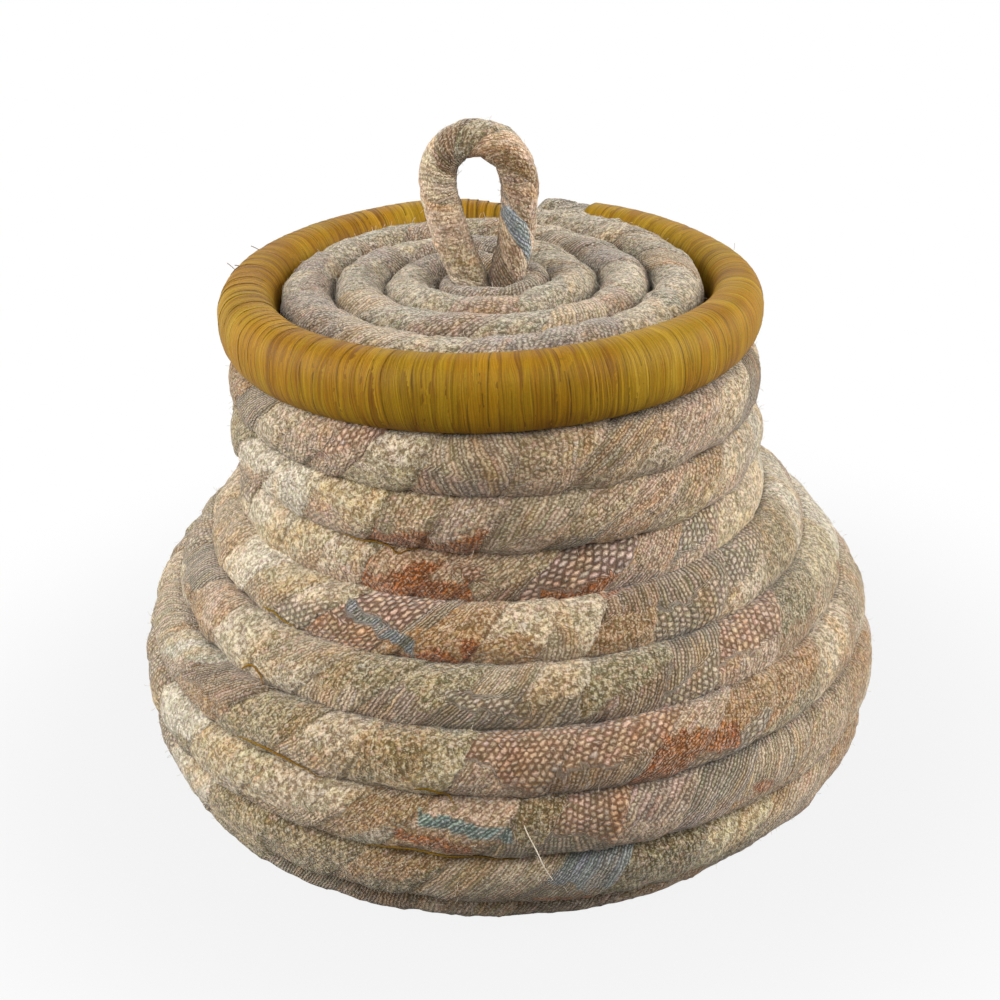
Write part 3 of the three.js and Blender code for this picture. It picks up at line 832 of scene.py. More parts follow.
def tail_path():
    """The fabric-wrapped end of the last turn."""
    angle = np.linspace(RAFFIA_END_ANGLE - TAIL_TUCK, TAIL_END_ANGLE, 120)
    sunk = (1 - RIM_END_SHARE) / 2
    radius = RIM_RADIUS + RIM_WIDTH * sunk + TAIL_OFFSET * tail_swing(angle)
    rise = TAIL_RISE * smoothstep(angle, RAFFIA_END_ANGLE, TAIL_END_ANGLE)
    at = circle_points(angle, radius, RIM_CENTRE - RIM_HEIGHT * sunk + rise)
    share = np.clip((angle - RAFFIA_END_ANGLE) / (TAIL_END_ANGLE - RAFFIA_END_ANGLE), 0, 1)
    thin = lerp(1.0, TAIL_END_SHARE, share)
    left = np.clip((TAIL_END_ANGLE - angle) * RIM_RADIUS / TAIL_ROUNDING, 0.03, 1)
    hidden = lerp(TAIL_START_SHARE, 1, smoothstep(angle, RAFFIA_END_ANGLE - 0.035, RAFFIA_END_ANGLE + 0.03))
    return with_length(at, radial(angle), thin * hidden * (1 - (1 - left) ** 2) ** 0.5)


def locator_path():
    """The ring of cord under the lid."""
    angle = np.linspace(0, TURN - 0.004, 700)
    radius = NECK_RADIUS - BODY_RADIUS - MOUTH_CLEARANCE - LID_RADIUS
    at = circle_points(angle, radius, LID_CENTRE - LID_CORD - LID_TURN_GAP)
    return with_length(at, radial(angle), np.ones_like(angle))


def through(points, count):
    """A smooth curve through points, with the knots spaced as the square root of their distance."""
    points = np.asarray(points, float)
    ends = [2 * points[0] - points[1], *points, 2 * points[-1] - points[-2]]
    out = []
    for p0, p1, p2, p3 in zip(ends, ends[1:], ends[2:], ends[3:]):
        knots = [0.0]
        for a, b in ((p0, p1), (p1, p2), (p2, p3)):
            knots.append(knots[-1] + max(np.linalg.norm(b - a), 1e-9) ** 0.5)
        t = np.linspace(knots[1], knots[2], count, endpoint=False)[:, None]

        def mixed(first, last, a, b):
            low, high = knots[first], knots[last]
            return (high - t) / (high - low) * a + (t - low) / (high - low) * b

        a1, a2, a3 = mixed(0, 1, p0, p1), mixed(1, 2, p1, p2), mixed(2, 3, p2, p3)
        out.append(mixed(1, 2, mixed(0, 2, a1, a2), mixed(1, 3, a2, a3)))
    return np.concatenate([*out, points[-1:]])


def handle_path():
    """The handle: two legs through the eye of the lid and a round arch above them."""
    top = RIM_CENTRE + HANDLE_RISE - HANDLE_CORD / 2
    arch = HANDLE_SPREAD / 2
    foot = HANDLE_FOOT_SPACING / 2
    right = [
        (foot, LID_CENTRE - LID_RADIUS),
        (foot, LID_CENTRE + LID_RADIUS / 2),
        (lerp(foot, arch, HANDLE_NECK_SHARE), LID_CENTRE + LID_RADIUS + HANDLE_NECK_HEIGHT),
        (arch, top - arch - HANDLE_STRAIGHT),
    ]
    for angle in np.radians([0, 30, 60]):
        right.append((arch * math.cos(angle), top - arch + arch * math.sin(angle)))
    sides = right + [(0, top)] + [(-x, z) for x, z in reversed(right)]
    lean = [HANDLE_LEAN * (z - LID_CENTRE) / (top - LID_CENTRE) for _, z in sides]
    points = [(x - shift - NECK_LEAN, 0, z) for (x, z), shift in zip(sides, lean)]
    at = through(points, 24) + ORIGIN_SHIFT
    middle = np.array([-NECK_LEAN - HANDLE_LEAN * 0.6, 0, top - arch]) + ORIGIN_SHIFT
    outward = at - middle
    outward[:, 1] = 0
    outward[:, 2] = np.maximum(outward[:, 2], 0)
    outward = square_to(unit(outward), unit(np.gradient(at, axis=0)))
    growth = smoothstep(at[:, 2], LID_CENTRE, LID_CENTRE + LID_RADIUS + HANDLE_GROWTH)
    return with_length(at, outward, lerp(FOOT_SHARE, 1.0, growth))


# Wrapped cord

# Strips take turns between two sets of attributes, so that the material can fray the edge between neighbours
SIDES = ("even", "odd")


def cord_tree():
    """Sweeps a section along a path and raises lumps and nubs on it."""
    nodes, given = geometry_tree(
        "Wrapped cord",
        {
            "Half Width": BODY_RADIUS,
            "Half Height": BODY_RADIUS,
            "Squareness": 2.4,
            "Sides": 56,
            "Lump Depth": 1.0 * MM,
            "Lump Size": 16 * MM,
            "Nub Depth": 0.35 * MM,
            "Nub Size": 2.6 * MM,
        },
    )
    line = nodes.facing_line(given["Geometry"])
    section = nodes.rounded(given["Squareness"], given["Half Width"], given["Half Height"])
    skin = nodes.thick(line, nodes.moved(nodes.circle(given["Sides"]), "Position", section))
    place = nodes.place()
    lumps, nubs = (
        (nodes.noise(place, 1 / given[form + " Size"], 2.0, 0.6) - 0.5) * 2 * given[form + " Depth"]
        for form in ("Lump", "Nub")
    )
    offset = nodes.scaled(nodes.normal(), lumps + nubs)
    return nodes.close(nodes.moved(skin, "Offset", offset), given["Material"])


class Strips:
    """Strips of fabric along a cord: where each begins, its fabrics and how its yarns lie.

    Lengths and fabrics are random, but for the strips that are listed.
    """

    def __init__(self, start, end, mean, mix, seed, placed=()):
        rng = np.random.default_rng(seed)
        names = list(mix)
        weights = np.array([mix[name] for name in names], float)
        codes = {name: i for i, name in enumerate(FABRICS)}
        placed = sorted(placed)
        spans = [(max(a[0], b[0] - 2.2 * mean), b[0], a[1:]) for a, b in zip(placed, placed[1:])]
        edges, rows = [start], []
        while edges[-1] < end:
            here = edges[-1]
            while spans and spans[0][1] <= here + 0.2 * mean:
                spans.pop(0)
            next_start = spans[0][0] if spans else math.inf
            if next_start <= here + 0.5 * mean:
                _, stop, (fabric, *rest) = spans.pop(0)
                second, share = rest or (fabric, 0)
            else:
                stop = here + mean * rng.uniform(0.6, 1.45)
                if stop > next_start - 0.4 * mean:
                    stop = next_start
                fabric, second = (names[i] for i in rng.choice(len(names), 2, p=weights / weights.sum()))
                share = rng.choice([0, 0, 0.3, 0.4, 0.5])
            edges.append(stop)
            rows.append((codes[fabric], codes[second], share))
        self.edges = np.array(edges, float)
        self.first, self.second, self.share = (np.array(column) for column in zip(*rows))
        rng = np.random.default_rng(seed + 1)
        count = len(rows)
        self.turn = rng.uniform(-0.22, 0.3, count) + np.where(rng.random(count) < 0.25, 0.6, 0.0)
        self.shift = rng.uniform(0, 40, (count, 2))
        self.tone = rng.uniform(0.9, 1.08, count)
        self.warmth = rng.uniform(-0.035, 0.035, count)
        self.step = rng.uniform(0.45, 1.25, count)
        self.skew = rng.uniform(-0.9, 0.9, count)


def cord_form(settings, size, squareness, sides, lump_share, lump_size, nub_share, nub_size, **more):
    """The inputs of a wrapped cord's tree, with lumps and nubs as shares of the settings."""
    return {
        "Half Width": size[0],
        "Half Height": size[1],
        "Squareness": squareness,
        "Sides": sides,
        "Lump Depth": lump_share * settings.lump_depth,
        "Lump Size": lump_size,
        "Nub Depth": nub_share * settings.nub_depth,
        "Nub Size": nub_size,
        **more,
    }


def section_arc(width, height, power):
    """Angle in the section and the length along its outline to there, from the outermost point."""
    angle = np.linspace(-math.pi, math.pi, 1441)
    reach = (np.abs(np.cos(angle) / width) ** power + np.abs(np.sin(angle) / height) ** power) ** (-1 / power)
    x, y = reach * np.cos(angle), reach * np.sin(angle)
    length = np.concatenate([[0], np.cumsum(np.hypot(np.diff(x), np.diff(y)))])
    return angle, length - np.interp(0, angle, length)


def wrapped_cord(name, path, form, strips, settings, material, tree, ground=False, caps=True):
    """A cord's skin: swept, then given its strips, with the attributes that the fabric's material reads."""
    thing = grown(name, polylines(name, [path]), tree, {**form, "Material": material})
    mesh = thing.data
    centre = path["at"][:, None, :]
    along = unit(np.gradient(path["at"], axis=0))
    out = unit(square_to(path["outward"], along))
    up = np.cross(along, out)
    off = points_of(mesh).reshape(len(centre), form["Sides"], 3) - centre
    angle = np.arctan2((off * up[:, None, :]).sum(2), (off * out[:, None, :]).sum(2))
    table = section_arc(form["Half Width"], form["Half Height"], form["Squareness"])
    arc = np.interp(angle, *table) * path["thickness"][:, None]

    # Where each point lies along the strips, whose edges slant and wobble
    run = path["along"][:, None]
    slant = settings.strip_slant * (1 + 0.45 * np.sin(run / (21 * MM)))
    place = run + slant * arc + 1.1 * MM * np.sin(arc / (5.3 * MM) + run / (7.7 * MM))
    count = len(strips.edges) - 1
    strip = np.clip(np.searchsorted(strips.edges, place, side="right") - 1, 0, count - 1)
    into = (place - strips.edges[strip]) / MM
    left = (strips.edges[strip + 1] - place) / MM
    share = np.clip((place - strips.edges[strip]) / (strips.edges[strip + 1] - strips.edges[strip]), 0, 1)

    # Each strip bulges in its middle, and its edge is folded and lies on the strip before it
    edge = smoothstep(into, 0.0, 1.3) * (1 - smoothstep(into, 3.0, 13.0))
    bulge = 0.8 * np.sin(math.pi * share) ** 0.8 - 0.4
    fold = 0.3 * np.exp(-(((into - 1.6) / 1.1) ** 2))
    groove = 0.3 * np.exp(-((left / 0.9) ** 2))
    rise = strips.step[strip] * (edge + bulge) + fold - groove
    rise = settings.strip_step * form.get("Rise", 1) * rise * np.minimum(path["thickness"][:, None], 1)
    if caps:
        run = path["along"] - path["along"][0]
        rise = rise * smoothstep(np.minimum(run, run[-1] - run), 0, 2 * MM)[:, None]
    p = centre + off * (1 + rise[..., None] / np.linalg.norm(off, axis=2, keepdims=True))
    if ground:
        soft = 0.6 * MM
        p[..., 2] = np.where(p[..., 2] < soft, soft * np.exp(np.minimum(p[..., 2] / soft - 1, 0)), p[..., 2])
    mesh.vertices.foreach_set("co", p.astype(np.float32).ravel())

    store(mesh, "strip", strip + share)
    near = np.where(share < 0.5, strip - 1, strip + 1).clip(0, count - 1)
    # Painted shade: the sides of the section that face the neighbouring rows are up to 35 % darker, where the
    # rows press together
    seam_shade = 1 - 0.35 * form.get("Seam", 1) * smoothstep(np.abs(np.sin(angle)), 0.82, 1.0)
    spot = {"share": share, "place": place, "arc": arc, "height": np.sin(angle), "seam_shade": seam_shade}
    for parity, label in enumerate(SIDES):
        own = np.where(strip % 2 == parity, strip, near)
        lay_fabric(mesh, label, path, strips, own, 0.5 * settings.strip_slant, **spot)
    mesh.update()
    return thing


def lay_fabric(mesh, label, path, strips, own, lean, share, place, arc, height, seam_shade):
    """Colours and yarns of the strips, for every second strip and the edges of its neighbours."""
    fabrics = [bpy.context.scene.basket_fabrics[name] for name in FABRICS]
    raised = np.array([f.raised[:] for f in fabrics])
    between = np.array([f.between[:] for f in fabrics])
    traits = np.array([(f.spacing, f.ribs, f.fluff) for f in fabrics])
    ragged = 0.10 * np.sin(place / (1.9 * MM)) + 0.07 * np.sin(place / (0.83 * MM) + 2 * arc / MM)
    split = strips.share[own] * 2 - 1 + strips.skew[own] * (2 * share - 1)
    fabric = np.where(height + ragged < split, strips.second[own], strips.first[own])
    for left_turn, right_turn, left_height, right_height, half, name in RIBBONS if "turns" in path else []:
        run = (path["turns"][:, None] - left_turn) / (right_turn - left_turn)
        off_line = np.abs(height + 0.5 * ragged - lerp(left_height, right_height, run))
        fabric = np.where((run > 0) & (run < 1) & (off_line < half), list(FABRICS).index(name), fabric)
    tone = strips.tone[own]
    # The tint holds each strip's random tone and warmth, and the painted shade where rows meet
    tint = (seam_shade * tone)[..., None] * (1 + strips.warmth[own][..., None] * np.array([1, 0, -1]))
    spacing, ribs, fluff = (traits[fabric, i] for i in range(3))
    c, s = np.cos(strips.turn[own]), np.sin(strips.turn[own])
    run = place - strips.edges[own] - lean * arc
    column = (run * c + arc * s) / spacing + strips.shift[own, 0]
    row = (arc * c - run * s) / spacing + strips.shift[own, 1]
    store(mesh, label + "_raised", np.dstack([raised[fabric] * tint, ribs]))
    store(mesh, label + "_between", np.dstack([between[fabric] * tint, fluff]))
    store(mesh, label + "_yarns", np.dstack([column, row, tone]))


def new_material(name):
    """A material, its nodes and its shader."""
    material = bpy.data.materials.new(name)
    material.use_nodes = True
    return material, Nodes(material.node_tree), material.node_tree.nodes["Principled BSDF"]


def fabric_material(name):
    """Upholstery fabric: beads or ribs of yarn along each strip, fluff, folded edges and a soft sheen, with
    painted shade in the gaps between the yarns and along each strip's edges.
    """
    material, nodes, shader = new_material(name)
    place = nodes.object_place()
    tufts = nodes.noise(place, 900.0, 3.0, 0.65)
    hair = nodes.noise(place, 2400.0, 2.0, 0.6)
    clumps = nodes.noise(place, 210.0, 2.0, 0.55)
    drift = nodes.noise(place, 60.0, 2.0, 0.5)

    # Which strip: its edge frays a little
    ragged = nodes.attribute("strip") + (clumps - 0.5) * 0.2 + (tufts - 0.5) * 0.12
    number = nodes.math("FLOOR", ragged)
    odd = nodes.math("FLOORED_MODULO", number, 2.0)
    within = nodes.math("FRACT", ragged)

    def own(label, kind, mix):
        return mix(odd, *(nodes.attribute(side + label, kind) for side in SIDES))

    raised, ribs = own("_raised", "Color", nodes.colours), own("_raised", "Alpha", nodes.numbers)
    between, fluff = own("_between", "Color", nodes.colours), own("_between", "Alpha", nodes.numbers)
    yarns = own("_yarns", "Vector", nodes.vectors)

    # Yarns: beads in rows or twisted ribs, which sway and break up
    for scale, size in ((130.0, 1.1), (650.0, fluff * 1.3 + 0.6)):
        sway = nodes.vector("SUBTRACT", nodes.noise(place, scale, 1.0, out=1), (0.5, 0.5, 0.5))
        yarns = nodes.vector("ADD", yarns, nodes.scaled(sway, size))
    x, y, _ = nodes.xyz(yarns)
    column = nodes.math("FLOOR", x)
    y = y + nodes.math("FLOORED_MODULO", column, 2.0) * 0.5
    row = nodes.math("FLOOR", y)
    across = 0.5 - nodes.math("COSINE", x * TURN) * 0.5
    down = 0.5 - nodes.math("COSINE", y * TURN) * 0.5
    twist = 0.5 + nodes.math("COSINE", y * TURN + x * 2.0) * 0.5
    bead = (across * down) ** 0.7
    rib = across**0.8 * (0.35 + twist * 0.65)
    yarn = nodes.numbers(ribs, bead, rib)
    length = nodes.numbers(nodes.smooth(ribs, 0.4, 0.6), row, nodes.math("FLOOR", y * 0.2))
    spot = nodes.joined(column, length, number)
    chance, tints = nodes.add("ShaderNodeTexWhiteNoise", {"Vector": spot}, (0, 1), noise_dimensions="3D")
    plush = nodes.numbers(fluff, yarn, nodes.smooth(tufts, 0.3, 0.7))
    relief = plush * 0.8 + hair * 0.3 - 0.05

    # Colour: yarns, odd dyed yarns and bands of them, and light and dark patches
    # Painted shade: where the relief is low the yarns take the colour between, which is partly painted shade
    # in the gaps
    mask = nodes.smooth(relief + (chance - 0.5) * 0.4, 0.18, 0.85)
    colour = nodes.colours(mask, between, raised)
    band = nodes.noise(nodes.joined(x * 0.2, y * 0.05, number * 7.3), 1.0, 1.0, 0.5)
    tint = nodes.ramp(
        band, (0.34, (0.93, 0.93, 0.97)), (0.46, (1, 1, 1)), (0.52, (1, 1, 1)), (0.64, (1, 0.87, 0.7))
    )
    colour = nodes.vector("MULTIPLY", colour, tint)
    colour = nodes.colours(0.09, colour, tints, "SOFT_LIGHT")
    dyed = nodes.ramp(
        nodes.math("FRACT", chance * 57.0),
        (0.0, (0.13, 0.1, 0.1)),
        (0.3, (0.3, 0.13, 0.05)),
        (0.55, (0.18, 0.2, 0.2)),
        (0.8, (0.42, 0.25, 0.2)),
    )
    colour = nodes.colours(nodes.math("GREATER_THAN", chance, 0.93) * 0.4, colour, dyed)
    # Painted shade: the yarns are darker in the gaps where the relief is low; the random tone of beads,
    # fibres, clumps and drift multiplies in too
    shade_and_tone = (0.54 + nodes.smooth(relief, 0.02, 0.7) * 0.56) * (0.85 + chance * 0.3)
    shade_and_tone = shade_and_tone * (0.6 + hair * 0.8) * (0.74 + clumps * 0.52) * (0.84 + drift * 0.32)
    # Painted shade: each strip is a tenth darker along its folded edges
    fold = nodes.smooth(within, 0.0, 0.04) * nodes.smooth(1 - within, 0.0, 0.05)
    shade_and_tone = shade_and_tone * (0.9 + fold * 0.1)
    speck = nodes.smooth(hair + tufts * 0.6 + relief * 0.35, 0.98, 1.14) * (fluff * 0.5 + 0.1)
    colour = nodes.vector("MULTIPLY", colour, nodes.joined(shade_and_tone**0.88, shade_and_tone, shade_and_tone**1.2))
    height = relief * 0.7 * MM + hair * 0.14 * MM + tufts * 0.3 * MM + clumps * 0.9 * MM + fold * 0.2 * MM
    sockets = {
        "Base Color": nodes.colours(speck, colour, (0.74, 0.66, 0.52, 1)),
        "Roughness": 0.86 + hair * 0.12,
        "Normal": nodes.bump(1.0, height),
        "Sheen Weight": 0.45,
        "Sheen Tint": (1, 0.95, 0.87, 1),
        "Sheen Roughness": 0.45,
        "Specular IOR Level": 0.15,
    }
    nodes.fill(shader, sockets)
    return material


# Raffia and loose fibres


def raffia_material(name, settings):
    """Raffia: fine streaks along each strand, strands of slightly different honey tones and satin shine, with
    painted shade in dark streaks and along each strand's edges, and pale streaks of painted highlight.
    """
    material, nodes, shader = new_material(name)
    chance, across, around = (nodes.attribute(label) for label in ("chance", "across", "round"))
    place = nodes.object_place()
    patch = nodes.noise(place, 45.0, 2.0)
    grain = nodes.noise(place, 1800.0, 2.0)

    def streaks(per_strand, along, detail, seed):
        lane = nodes.joined(across * per_strand, around * along, chance * seed)
        return nodes.noise(lane, 1.0, detail, 0.6)

    wide = streaks(1.6, 0.12, 1.0, 91.0)
    middle = streaks(4.5, 0.2, 2.0, 37.0)
    fine = streaks(10.0, 0.3, 3.0, 53.0)
    tone = wide * 0.5 + middle * 0.55 + fine * 0.5 + patch * 0.3 + chance * 0.22 - 0.5
    honey = (*settings.raffia, 1)
    # The darker raffia in the lowest streaks is partly its own tone and partly painted shade in its creases
    dark = (*settings.raffia_dark, 1)
    # Painted highlight: the pale colour, mixed into the brightest streaks, stands for the satin highlights
    # along the strands
    pale = (honey[0] * 1.45, honey[1] * 1.6, honey[2] * 7, 1)
    colour = nodes.colours(nodes.smooth(tone, 0.22, 0.62), dark, honey)
    colour = nodes.colours(nodes.smooth(tone, 0.58, 0.86) * 0.7, colour, pale)
    bunch = nodes.smooth(patch * 0.6 + wide * 0.4, 0.42, 0.58)
    colour = nodes.vector("MULTIPLY", colour, nodes.vectors(bunch, (1.04, 0.95, 0.85), (0.97, 1.03, 1.1)))
    # Painted shade: dark streaks where the streak noise is low stand for the shaded gaps between the raffia's
    # fibres
    crack_shade = nodes.smooth(middle * 0.45 + fine * 0.55, 0.3, 0.39)
    # Painted shade: each strand is darker along both its edges, where it meets the next strand, by a random
    # depth
    edge = nodes.smooth(nodes.math("ABSOLUTE", across), 0.78, 1.0)
    edge_shade_depth = nodes.smooth(chance, 0.35, 0.95) * 0.6 + 0.1
    shade_and_tone = (1 - edge * edge_shade_depth) * (0.82 + grain * 0.36) * (0.35 + crack_shade * 0.65) * (0.45 + fine * 1.1)
    sockets = {
        "Base Color": nodes.vector("MULTIPLY", colour, nodes.joined(shade_and_tone, shade_and_tone, shade_and_tone)),
        "Roughness": 0.45 + middle * 0.25,
        "Normal": nodes.bump(0.9, fine * 0.1 * MM + middle * 0.2 * MM + wide * 0.25 * MM),
        "Specular IOR Level": 0.15,
    }
    nodes.fill(shader, sockets)
    return material


def windings_tree():
    """Lays loops of raffia side by side round a cord that runs along a path."""
    nodes, given = geometry_tree(
        "Raffia windings",
        {
            "Step": 2.7 * MM,
            "Strand Width": 4.6 * MM,
            "Half Width": RIM_WIDTH / 2,
            "Half Height": RIM_HEIGHT / 2,
            "Crown": 0.05 * MM,
            "Tilt": 0.03,
            "Wander": 1.5 * MM,
        },
    )
    line = nodes.add("GeometryNodeMeshToCurve", {0: given["Geometry"]})
    count = nodes.math("FLOOR", nodes.add("GeometryNodeCurveLength", {0: line}) / given["Step"])
    spots = nodes.evenly(line, count)
    spots = nodes.stored(spots, "lengthwise", nodes.add("GeometryNodeInputTangent"), "FLOAT_VECTOR")
    spots = nodes.stored(spots, "chance", nodes.chance(0.0, 1.0, 8))
    lengthwise = nodes.named("lengthwise", "FLOAT_VECTOR")
    upright = nodes.add(
        "FunctionNodeAxesToRotation",
        {0: lengthwise, 1: nodes.named("outward", "FLOAT_VECTOR")},
        primary_axis="Z",
        secondary_axis="X",
    )
    lean = nodes.joined(given["Tilt"] + nodes.chance(-0.02, 0.02, 9), nodes.chance(-0.03, 0.03, 10), 0.0)
    size = nodes.named("thickness") * nodes.chance(0.996, 1.004, 11)
    stretch = nodes.joined(size, size, nodes.chance(0.75, 1.5, 12))

    # One loop of flat strand round the section, crowned across its width
    around = nodes.math("ABSOLUTE", nodes.add("GeometryNodeSplineParameter") - 0.5) * 12.0
    loop = nodes.stored(nodes.circle(44), "round", around)
    oval = nodes.rounded(2.3, given["Half Width"], given["Half Height"])
    loop = nodes.moved(loop, "Position", oval)
    _, side, _ = nodes.xyz(nodes.place())
    flat = nodes.stored(nodes.straight((0, -1, 0), (0, 1, 0), 5), "across", side)
    crowned = nodes.joined((1 - side * side) * given["Crown"], side * given["Strand Width"] / 2, 0.0)
    strand = nodes.swept(loop, nodes.moved(flat, "Position", crowned), False)
    real = nodes.add("GeometryNodeRealizeInstances", {0: nodes.spread(spots, strand, upright, lean, stretch)})

    # Each loop strays along the cord and is crinkled
    place = nodes.place()
    lane = nodes.joined(nodes.named("chance") * 400.0, 0.0, nodes.named("across") * 0.35)
    apart = nodes.vector("ADD", nodes.scaled(place, 60.0), lane)
    stray = (nodes.noise(apart, 1.0, 1.0, 0.5) - 0.5) * 2 * given["Wander"]
    crinkle = (nodes.noise(nodes.scaled(place, 400.0), 1.0, 2.0, 0.5) - 0.5) * (0.35 * MM)
    offset = nodes.vector("ADD", nodes.scaled(lengthwise, stray), nodes.scaled(nodes.normal(), crinkle))
    return nodes.close(nodes.moved(real, "Offset", offset), given["Material"])


def strand_tree():
    """Sweeps a small flat section along each line of a mesh, for loose strands and threads."""
    nodes, given = geometry_tree("Loose strand", {"Width": 1.0 * MM, "Flatness": 0.3})
    x, y, _ = nodes.xyz(nodes.place())
    circle = nodes.stored(nodes.circle(8), "across", y)
    section = nodes.joined(x * given["Width"] * 0.5 * given["Flatness"], y * given["Width"] * 0.5, 0.0)
    flat = nodes.moved(circle, "Position", section)
    return nodes.close(nodes.thick(nodes.facing_line(given["Geometry"]), flat), given["Material"])


def fuzz_tree():
    """Scatters short bent fibres over a surface."""
    nodes, given = geometry_tree("Fuzz", {"Count": 6000, "Length": 2.4 * MM, "Thickness": 0.07 * MM})
    area = nodes.add(
        "GeometryNodeAttributeStatistic",
        {"Geometry": given["Geometry"], 2: nodes.add("GeometryNodeInputMeshFaceArea")},
        "Sum",
        data_type="FLOAT",
        domain="FACE",
    )
    spots, _, facing = nodes.add(
        "GeometryNodeDistributePointsOnFaces",
        {"Mesh": given["Geometry"], "Density": given["Count"] / area, "Seed": 3},
        (0, 1, 2),
        distribute_method="RANDOM",
    )
    _, _, rise = nodes.xyz(nodes.place())
    bent = nodes.joined(rise * rise * 0.55, 0.0, rise - rise * rise * 0.25)
    stem = nodes.moved(nodes.straight((0, 0, 0), (0, 0, 1), 4), "Position", bent)
    fibre = nodes.swept(stem, nodes.circle(3, given["Thickness"] / given["Length"] / 2))
    tilt = nodes.joined(nodes.chance(-1.1, 1.1, 4), nodes.chance(-1.1, 1.1, 5), nodes.chance(0.0, TURN, 6))
    size = given["Length"] * nodes.chance(0.35, 1.5, 7)
    laid = nodes.spread(spots, fibre, facing, tilt, nodes.joined(size, size, size))
    return nodes.close(laid, given["Material"])


def fuzz_material():
    """Pale loose fibres."""
    material, nodes, shader = new_material("Loose fibres")
    mixed = nodes.noise(nodes.object_place(), 260.0, 1.0)
    colour = nodes.colours(mixed, (0.52, 0.42, 0.3, 1), (0.8, 0.72, 0.58, 1))
    nodes.fill(shader, {"Base Color": colour, "Roughness": 0.8 + mixed * 0.1, "Sheen Weight": 0.3})
    return material


# Operators


def settle(thing, body, slot, *replaced):
    """Lets a finished piece ride on its body in the stead of its solids; the slot is not used."""
    if replaced:
        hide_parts(*replaced)
    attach(thing, body)


class BASKET_OT_body(bpy.types.Operator):
    """Wraps the basket's own cord in strips of fabric, in lengths of one or two turns"""

    bl_idname = "basket.wrap_body"
    bl_label = "Wrap the basket's cord"

    def execute(self, context):
        settings = context.scene.basket_settings
        path, splices = basket_path()
        material = fabric_material("Woven strips")
        tree = cord_tree()
        total = path["along"][-1]
        up_turns, rim_down = path["turns"][::-1], (total - path["along"])[::-1]
        rows = sorted((-np.interp(turns, up_turns, rim_down), *fabrics) for turns, *fabrics in FRONT_STRIPS)
        placed = [(below[0] + total, *row[1:]) for below, row in zip(rows, rows[1:])]
        strips = Strips(-20 * MM, total + 20 * MM, settings.strip_length, BODY_MIX, BODY_SEED, placed)
        size = (BODY_RADIUS - 0.2 * MM, PITCH / 2 + settings.press)
        names = ["base", "belly", "shoulder", "neck"]
        for part, first, last in zip(names, splices, splices[1:]):
            hidden = part == "base"
            step = last - first if hidden else 2 * TURN_STEPS * FINE_STEPS
            cuts = [*range(first, last - SHORTEST_PIECE_STEPS, step), last]
            form = cord_form(settings, size, 2.35, 40 if hidden else 60, 1, 17 * MM, 1, 2.8 * MM)
            for i, (a, b) in enumerate(zip(cuts, cuts[1:])):
                piece = {key: values[a : b + 1] for key, values in path.items()}
                piece = resampled(piece, settings.cell * (1.5 if hidden else 1.0))
                name = part + "_wrap" + ("" if len(cuts) == 2 else f"_{i + 1}")
                low = part in ("base", "belly")
                thing = wrapped_cord(name, piece, form, strips, settings, material, tree, low, caps=False)
                settle(thing, "basket", "body_wrap", *([part + "_coil"] if i == 0 else []))
        return {"FINISHED"}


class BASKET_OT_lid(bpy.types.Operator):
    """Wraps the lid's coil, the end of its last turn and the ring under it in pale fabric"""

    bl_idname = "basket.wrap_lid"
    bl_label = "Wrap the lid's cord"

    def execute(self, context):
        settings = context.scene.basket_settings
        material = fabric_material("Pale woven strips")
        tree = cord_tree()
        lid = (LID_RADIUS - 0.1 * MM, LID_RADIUS + 0.2 * MM)
        rim = (RIM_END_SHARE * RIM_WIDTH / 2 - 0.3 * MM, RIM_END_SHARE * RIM_HEIGHT / 2 - 0.3 * MM)
        plans = [
            ("lid_wrap_coil", "lid_coil", lid_path(), 52, 1.0, lid),
            ("lid_wrap_tail", "lid_cord_tail", tail_path(), 52, 1.0, rim),
            ("lid_wrap_locator", "lid_locating_coil", locator_path(), 36, 1.5, lid),
        ]
        for (name, node, path, sides, coarse, size), seed in zip(plans, LID_SEEDS):
            path = resampled(path, settings.cell * coarse)
            end = path["along"][-1] + LID_STRIP_LENGTH
            strips = Strips(-LID_STRIP_LENGTH, end, LID_STRIP_LENGTH, LID_MIX, seed)
            form = cord_form(settings, size, 2.15, sides, 0.9, 13 * MM, 1, 2.4 * MM)
            thing = wrapped_cord(name, path, form, strips, settings, material, tree)
            settle(thing, "lid", "lid_wrap", node)
        return {"FINISHED"}


class BASKET_OT_handle(bpy.types.Operator):
    """Wraps the lid's loop handle in brown and pink fabric"""

    bl_idname = "basket.wrap_handle"
    bl_label = "Wrap the handle"

    def execute(self, context):
        settings = context.scene.basket_settings
        material = fabric_material("Brown and pink strips")
        path = resampled(handle_path(), 0.75 * settings.cell)
        total = path["along"][-1]
        placed = [(share * total, *fabrics) for share, *fabrics in HANDLE_STRIPS]
        strips = Strips(-5 * MM, total + 10 * MM, HANDLE_STRIP_LENGTH, HANDLE_MIX, HANDLE_SEED, placed)
        half = HANDLE_CORD / 2 - 0.75 * MM
        form = cord_form(settings, (half, half), 2.0, 48, 0.7, 11 * MM, 0.9, 2.2 * MM, Rise=0.45, Seam=0)
        thing = wrapped_cord("handle_wrap", path, form, strips, settings, material, cord_tree())
        settle(thing, "lid", "handle_wrap", "lid_handle")
        return {"FINISHED"}


